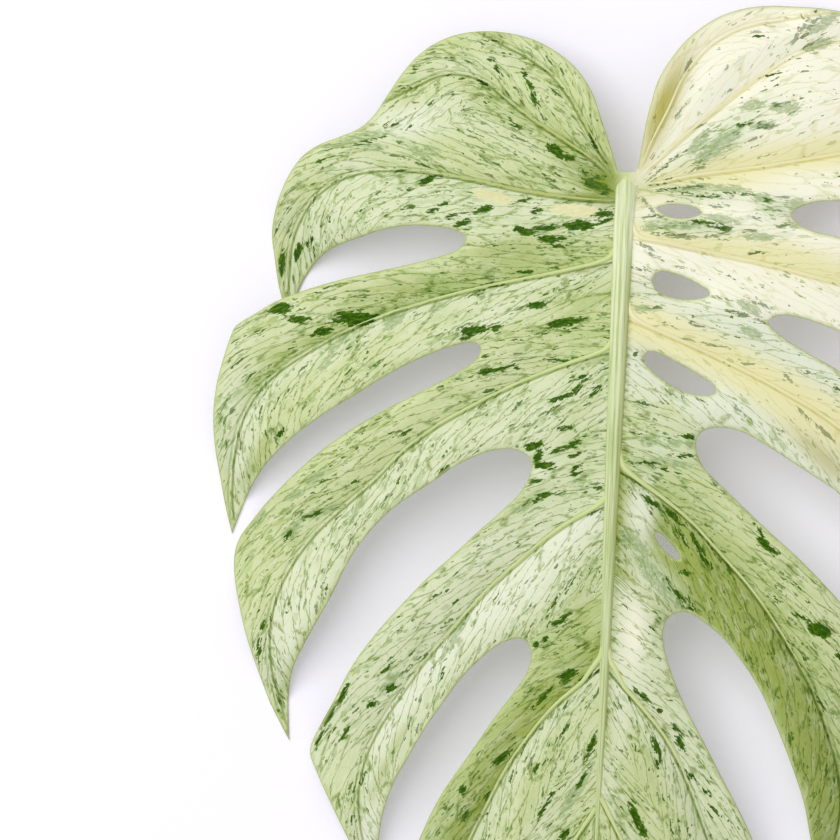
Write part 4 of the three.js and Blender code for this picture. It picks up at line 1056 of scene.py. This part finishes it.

# The same tough skin, pale on top with long fine flutes. A dull olive band of painted shade runs
# high on the right flank, the side away from the lamp, and a greener one along the left edge, both
# past the joint, where all of it is darker.
midrib_skin, t = new_finish("fluted_midrib_skin")
along, around = (add(t, "ShaderNodeAttribute", attribute_name=name).outputs["Fac"]
                 for name in ("along", "around"))
strand = add(t, "ShaderNodeCombineXYZ", {0: along, 1: around}).outputs[0]
strand = add(t, "ShaderNodeMapping", {"Vector": strand, "Scale": (34, 24, 1)}).outputs[0]
flutes = add(t, "ShaderNodeTexNoise", {
    "Vector": strand, "Scale": 1.0, "Detail": 3.0, "Roughness": 0.6}, **FLAT).outputs[0]
amount = add(t, "ShaderNodeMapRange", {0: flutes, 1: 0.42, 2: 0.68}).outputs[0]
colour = add(t, "ShaderNodeMix", {
    0: amount, 6: tone("#e4ebc2"), 7: tone("#c4d192")}, **MIXED).outputs[2]
# The flutes' grooves are painted darker as painted shade, and more so where the streak noise runs
# high.
painted_groove_shade = add(t, "ShaderNodeMath", {0: around, 1: FLUTES * math.tau}, **TIMES).outputs[0]
painted_groove_shade = add(t, "ShaderNodeMath", {0: painted_groove_shade}, operation="COSINE").outputs[0]
painted_groove_shade = add(t, "ShaderNodeMath", {0: flutes, 1: -3.0, 2: painted_groove_shade}, **TIMES_PLUS).outputs[0]
for source, none_at, full_at, strength, shade in (
        (painted_groove_shade, -1.4, -2.7, 0.55, (0.74, 0.82, 0.58, 1)),
        (along, 0.06, 0.12, 0.75, (0.75, 0.81, 0.62, 1))):
    amount = add(t, "ShaderNodeMapRange", {
        0: source, 1: none_at, 2: full_at, 3: 0.0, 4: strength}).outputs[0]
    colour = add(t, "ShaderNodeMix", {0: amount, 6: colour, 7: shade}, **SHADED).outputs[2]
past_joint = add(t, "ShaderNodeMapRange", {0: along, 1: 0.048, 2: 0.060}).outputs[0]
# The first band is painted shade on the right flank, away from the lamp.
for place, half_band, code, strength in ((0.362, 0.066, "#a3a850", 0.62),
                                         (0.672, 0.03, "#a3b466", 0.55)):
    off = add(t, "ShaderNodeMath", {0: around, 1: place}, operation="SUBTRACT").outputs[0]
    off = add(t, "ShaderNodeMath", {0: off}, operation="ABSOLUTE").outputs[0]
    amount = add(t, "ShaderNodeMapRange", {
        0: off, 1: half_band, 2: half_band * 0.3, 3: 0.0, 4: strength}).outputs[0]
    amount = add(t, "ShaderNodeMath", {0: amount, 1: past_joint}, **TIMES).outputs[0]
    colour = add(t, "ShaderNodeMix", {0: amount, 6: colour, 7: tone(code)}, **MIXED).outputs[2]
dents = add(t, "ShaderNodeBump", {"Strength": 0.5, "Distance": 0.0003, "Height": flutes})
skin = add(t, "ShaderNodeBsdfPrincipled", {
    "Base Color": colour, "Roughness": 0.42, "IOR": 1.45, "Normal": dents.outputs[0]})
add(t, "ShaderNodeOutputMaterial", {"Surface": skin.outputs[0]})
midrib_place = in_place(backbone[:, :2], backbone[:, 2])
stalk_part = np.where(past_knee, 0, 1 - on_ridge)
midrib = sweep("midrib_and_stub", cords, [(midrib_place, half_width / 1000, stalk_part)],
               midrib_skin, {"Corners round": 60, "Depth over width": 1.05, "Flutes": FLUTES,
                             "Flute depth": 0.032})
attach(midrib, "root")

# ---- The surface under the leaf, the light and the camera ---------------------------------------
# Matt white card with a faint painted glow of its own that lightens the shade under the leaf, lit
# by one large soft lamp high on the left and by pale light from all round.
bpy.ops.mesh.primitive_plane_add(size=16)
card = bpy.context.object
card.name = "white_card"
card_face, t = new_finish("glowing_white_card")
# The emission is a painted glow, not a lamp: it lifts the shade under the leaf to a neutral grey.
skin = add(t, "ShaderNodeBsdfPrincipled", {
    "Base Color": tone("#edebf4"), "Roughness": 0.9, "Specular IOR Level": 0.2,
    "Emission Color": tone("#fbf4ff"), "Emission Strength": 0.18})
add(t, "ShaderNodeOutputMaterial", {"Surface": skin.outputs[0]})
card.data.materials.append(card_face)

LAMP_AWAY, LAMP_WIDTH, LAMP_POWER = 2.6, 2.0, 37
LAMP_HEIGHT, LAMP_BEARING = math.radians(60), math.radians(144)
lamp = bpy.data.lights.new("soft_lamp", "AREA")
lamp.size = LAMP_WIDTH
lamp.energy = LAMP_POWER
lamp_at = bpy.data.objects.new("soft_lamp", lamp)
lamp_at.location = [LAMP_AWAY * part for part in (
    math.cos(LAMP_HEIGHT) * math.cos(LAMP_BEARING), math.cos(LAMP_HEIGHT) * math.sin(LAMP_BEARING),
    math.sin(LAMP_HEIGHT))]
lamp_at.rotation_euler = (-lamp_at.location).to_track_quat("-Z", "Y").to_euler()
bpy.context.scene.collection.objects.link(lamp_at)
world = bpy.data.worlds.new("pale_room")
world.use_nodes = True
room = world.node_tree.nodes["Background"].inputs
room["Color"].default_value = (0.985, 0.985, 1.035, 1)
room["Strength"].default_value = 0.60
bpy.context.scene.world = world
bpy.context.scene.view_settings.view_transform = "Standard"

VIEW_AWAY, VIEW_WIDTH, VIEW_ROLL, VIEW_AT = 3.0, 0.315, math.radians(2.6), (-73.4, -94.2)
eye = bpy.data.cameras.new("camera")
eye.lens = eye.sensor_width * VIEW_AWAY / VIEW_WIDTH
eye_at = bpy.data.objects.new("camera", eye)
eye_at.location = (*((np.array(VIEW_AT) - centre) / 1000), VIEW_AWAY + 0.02)
eye_at.rotation_euler = (0, 0, VIEW_ROLL)
bpy.context.scene.collection.objects.link(eye_at)
bpy.context.scene.camera = eye_at
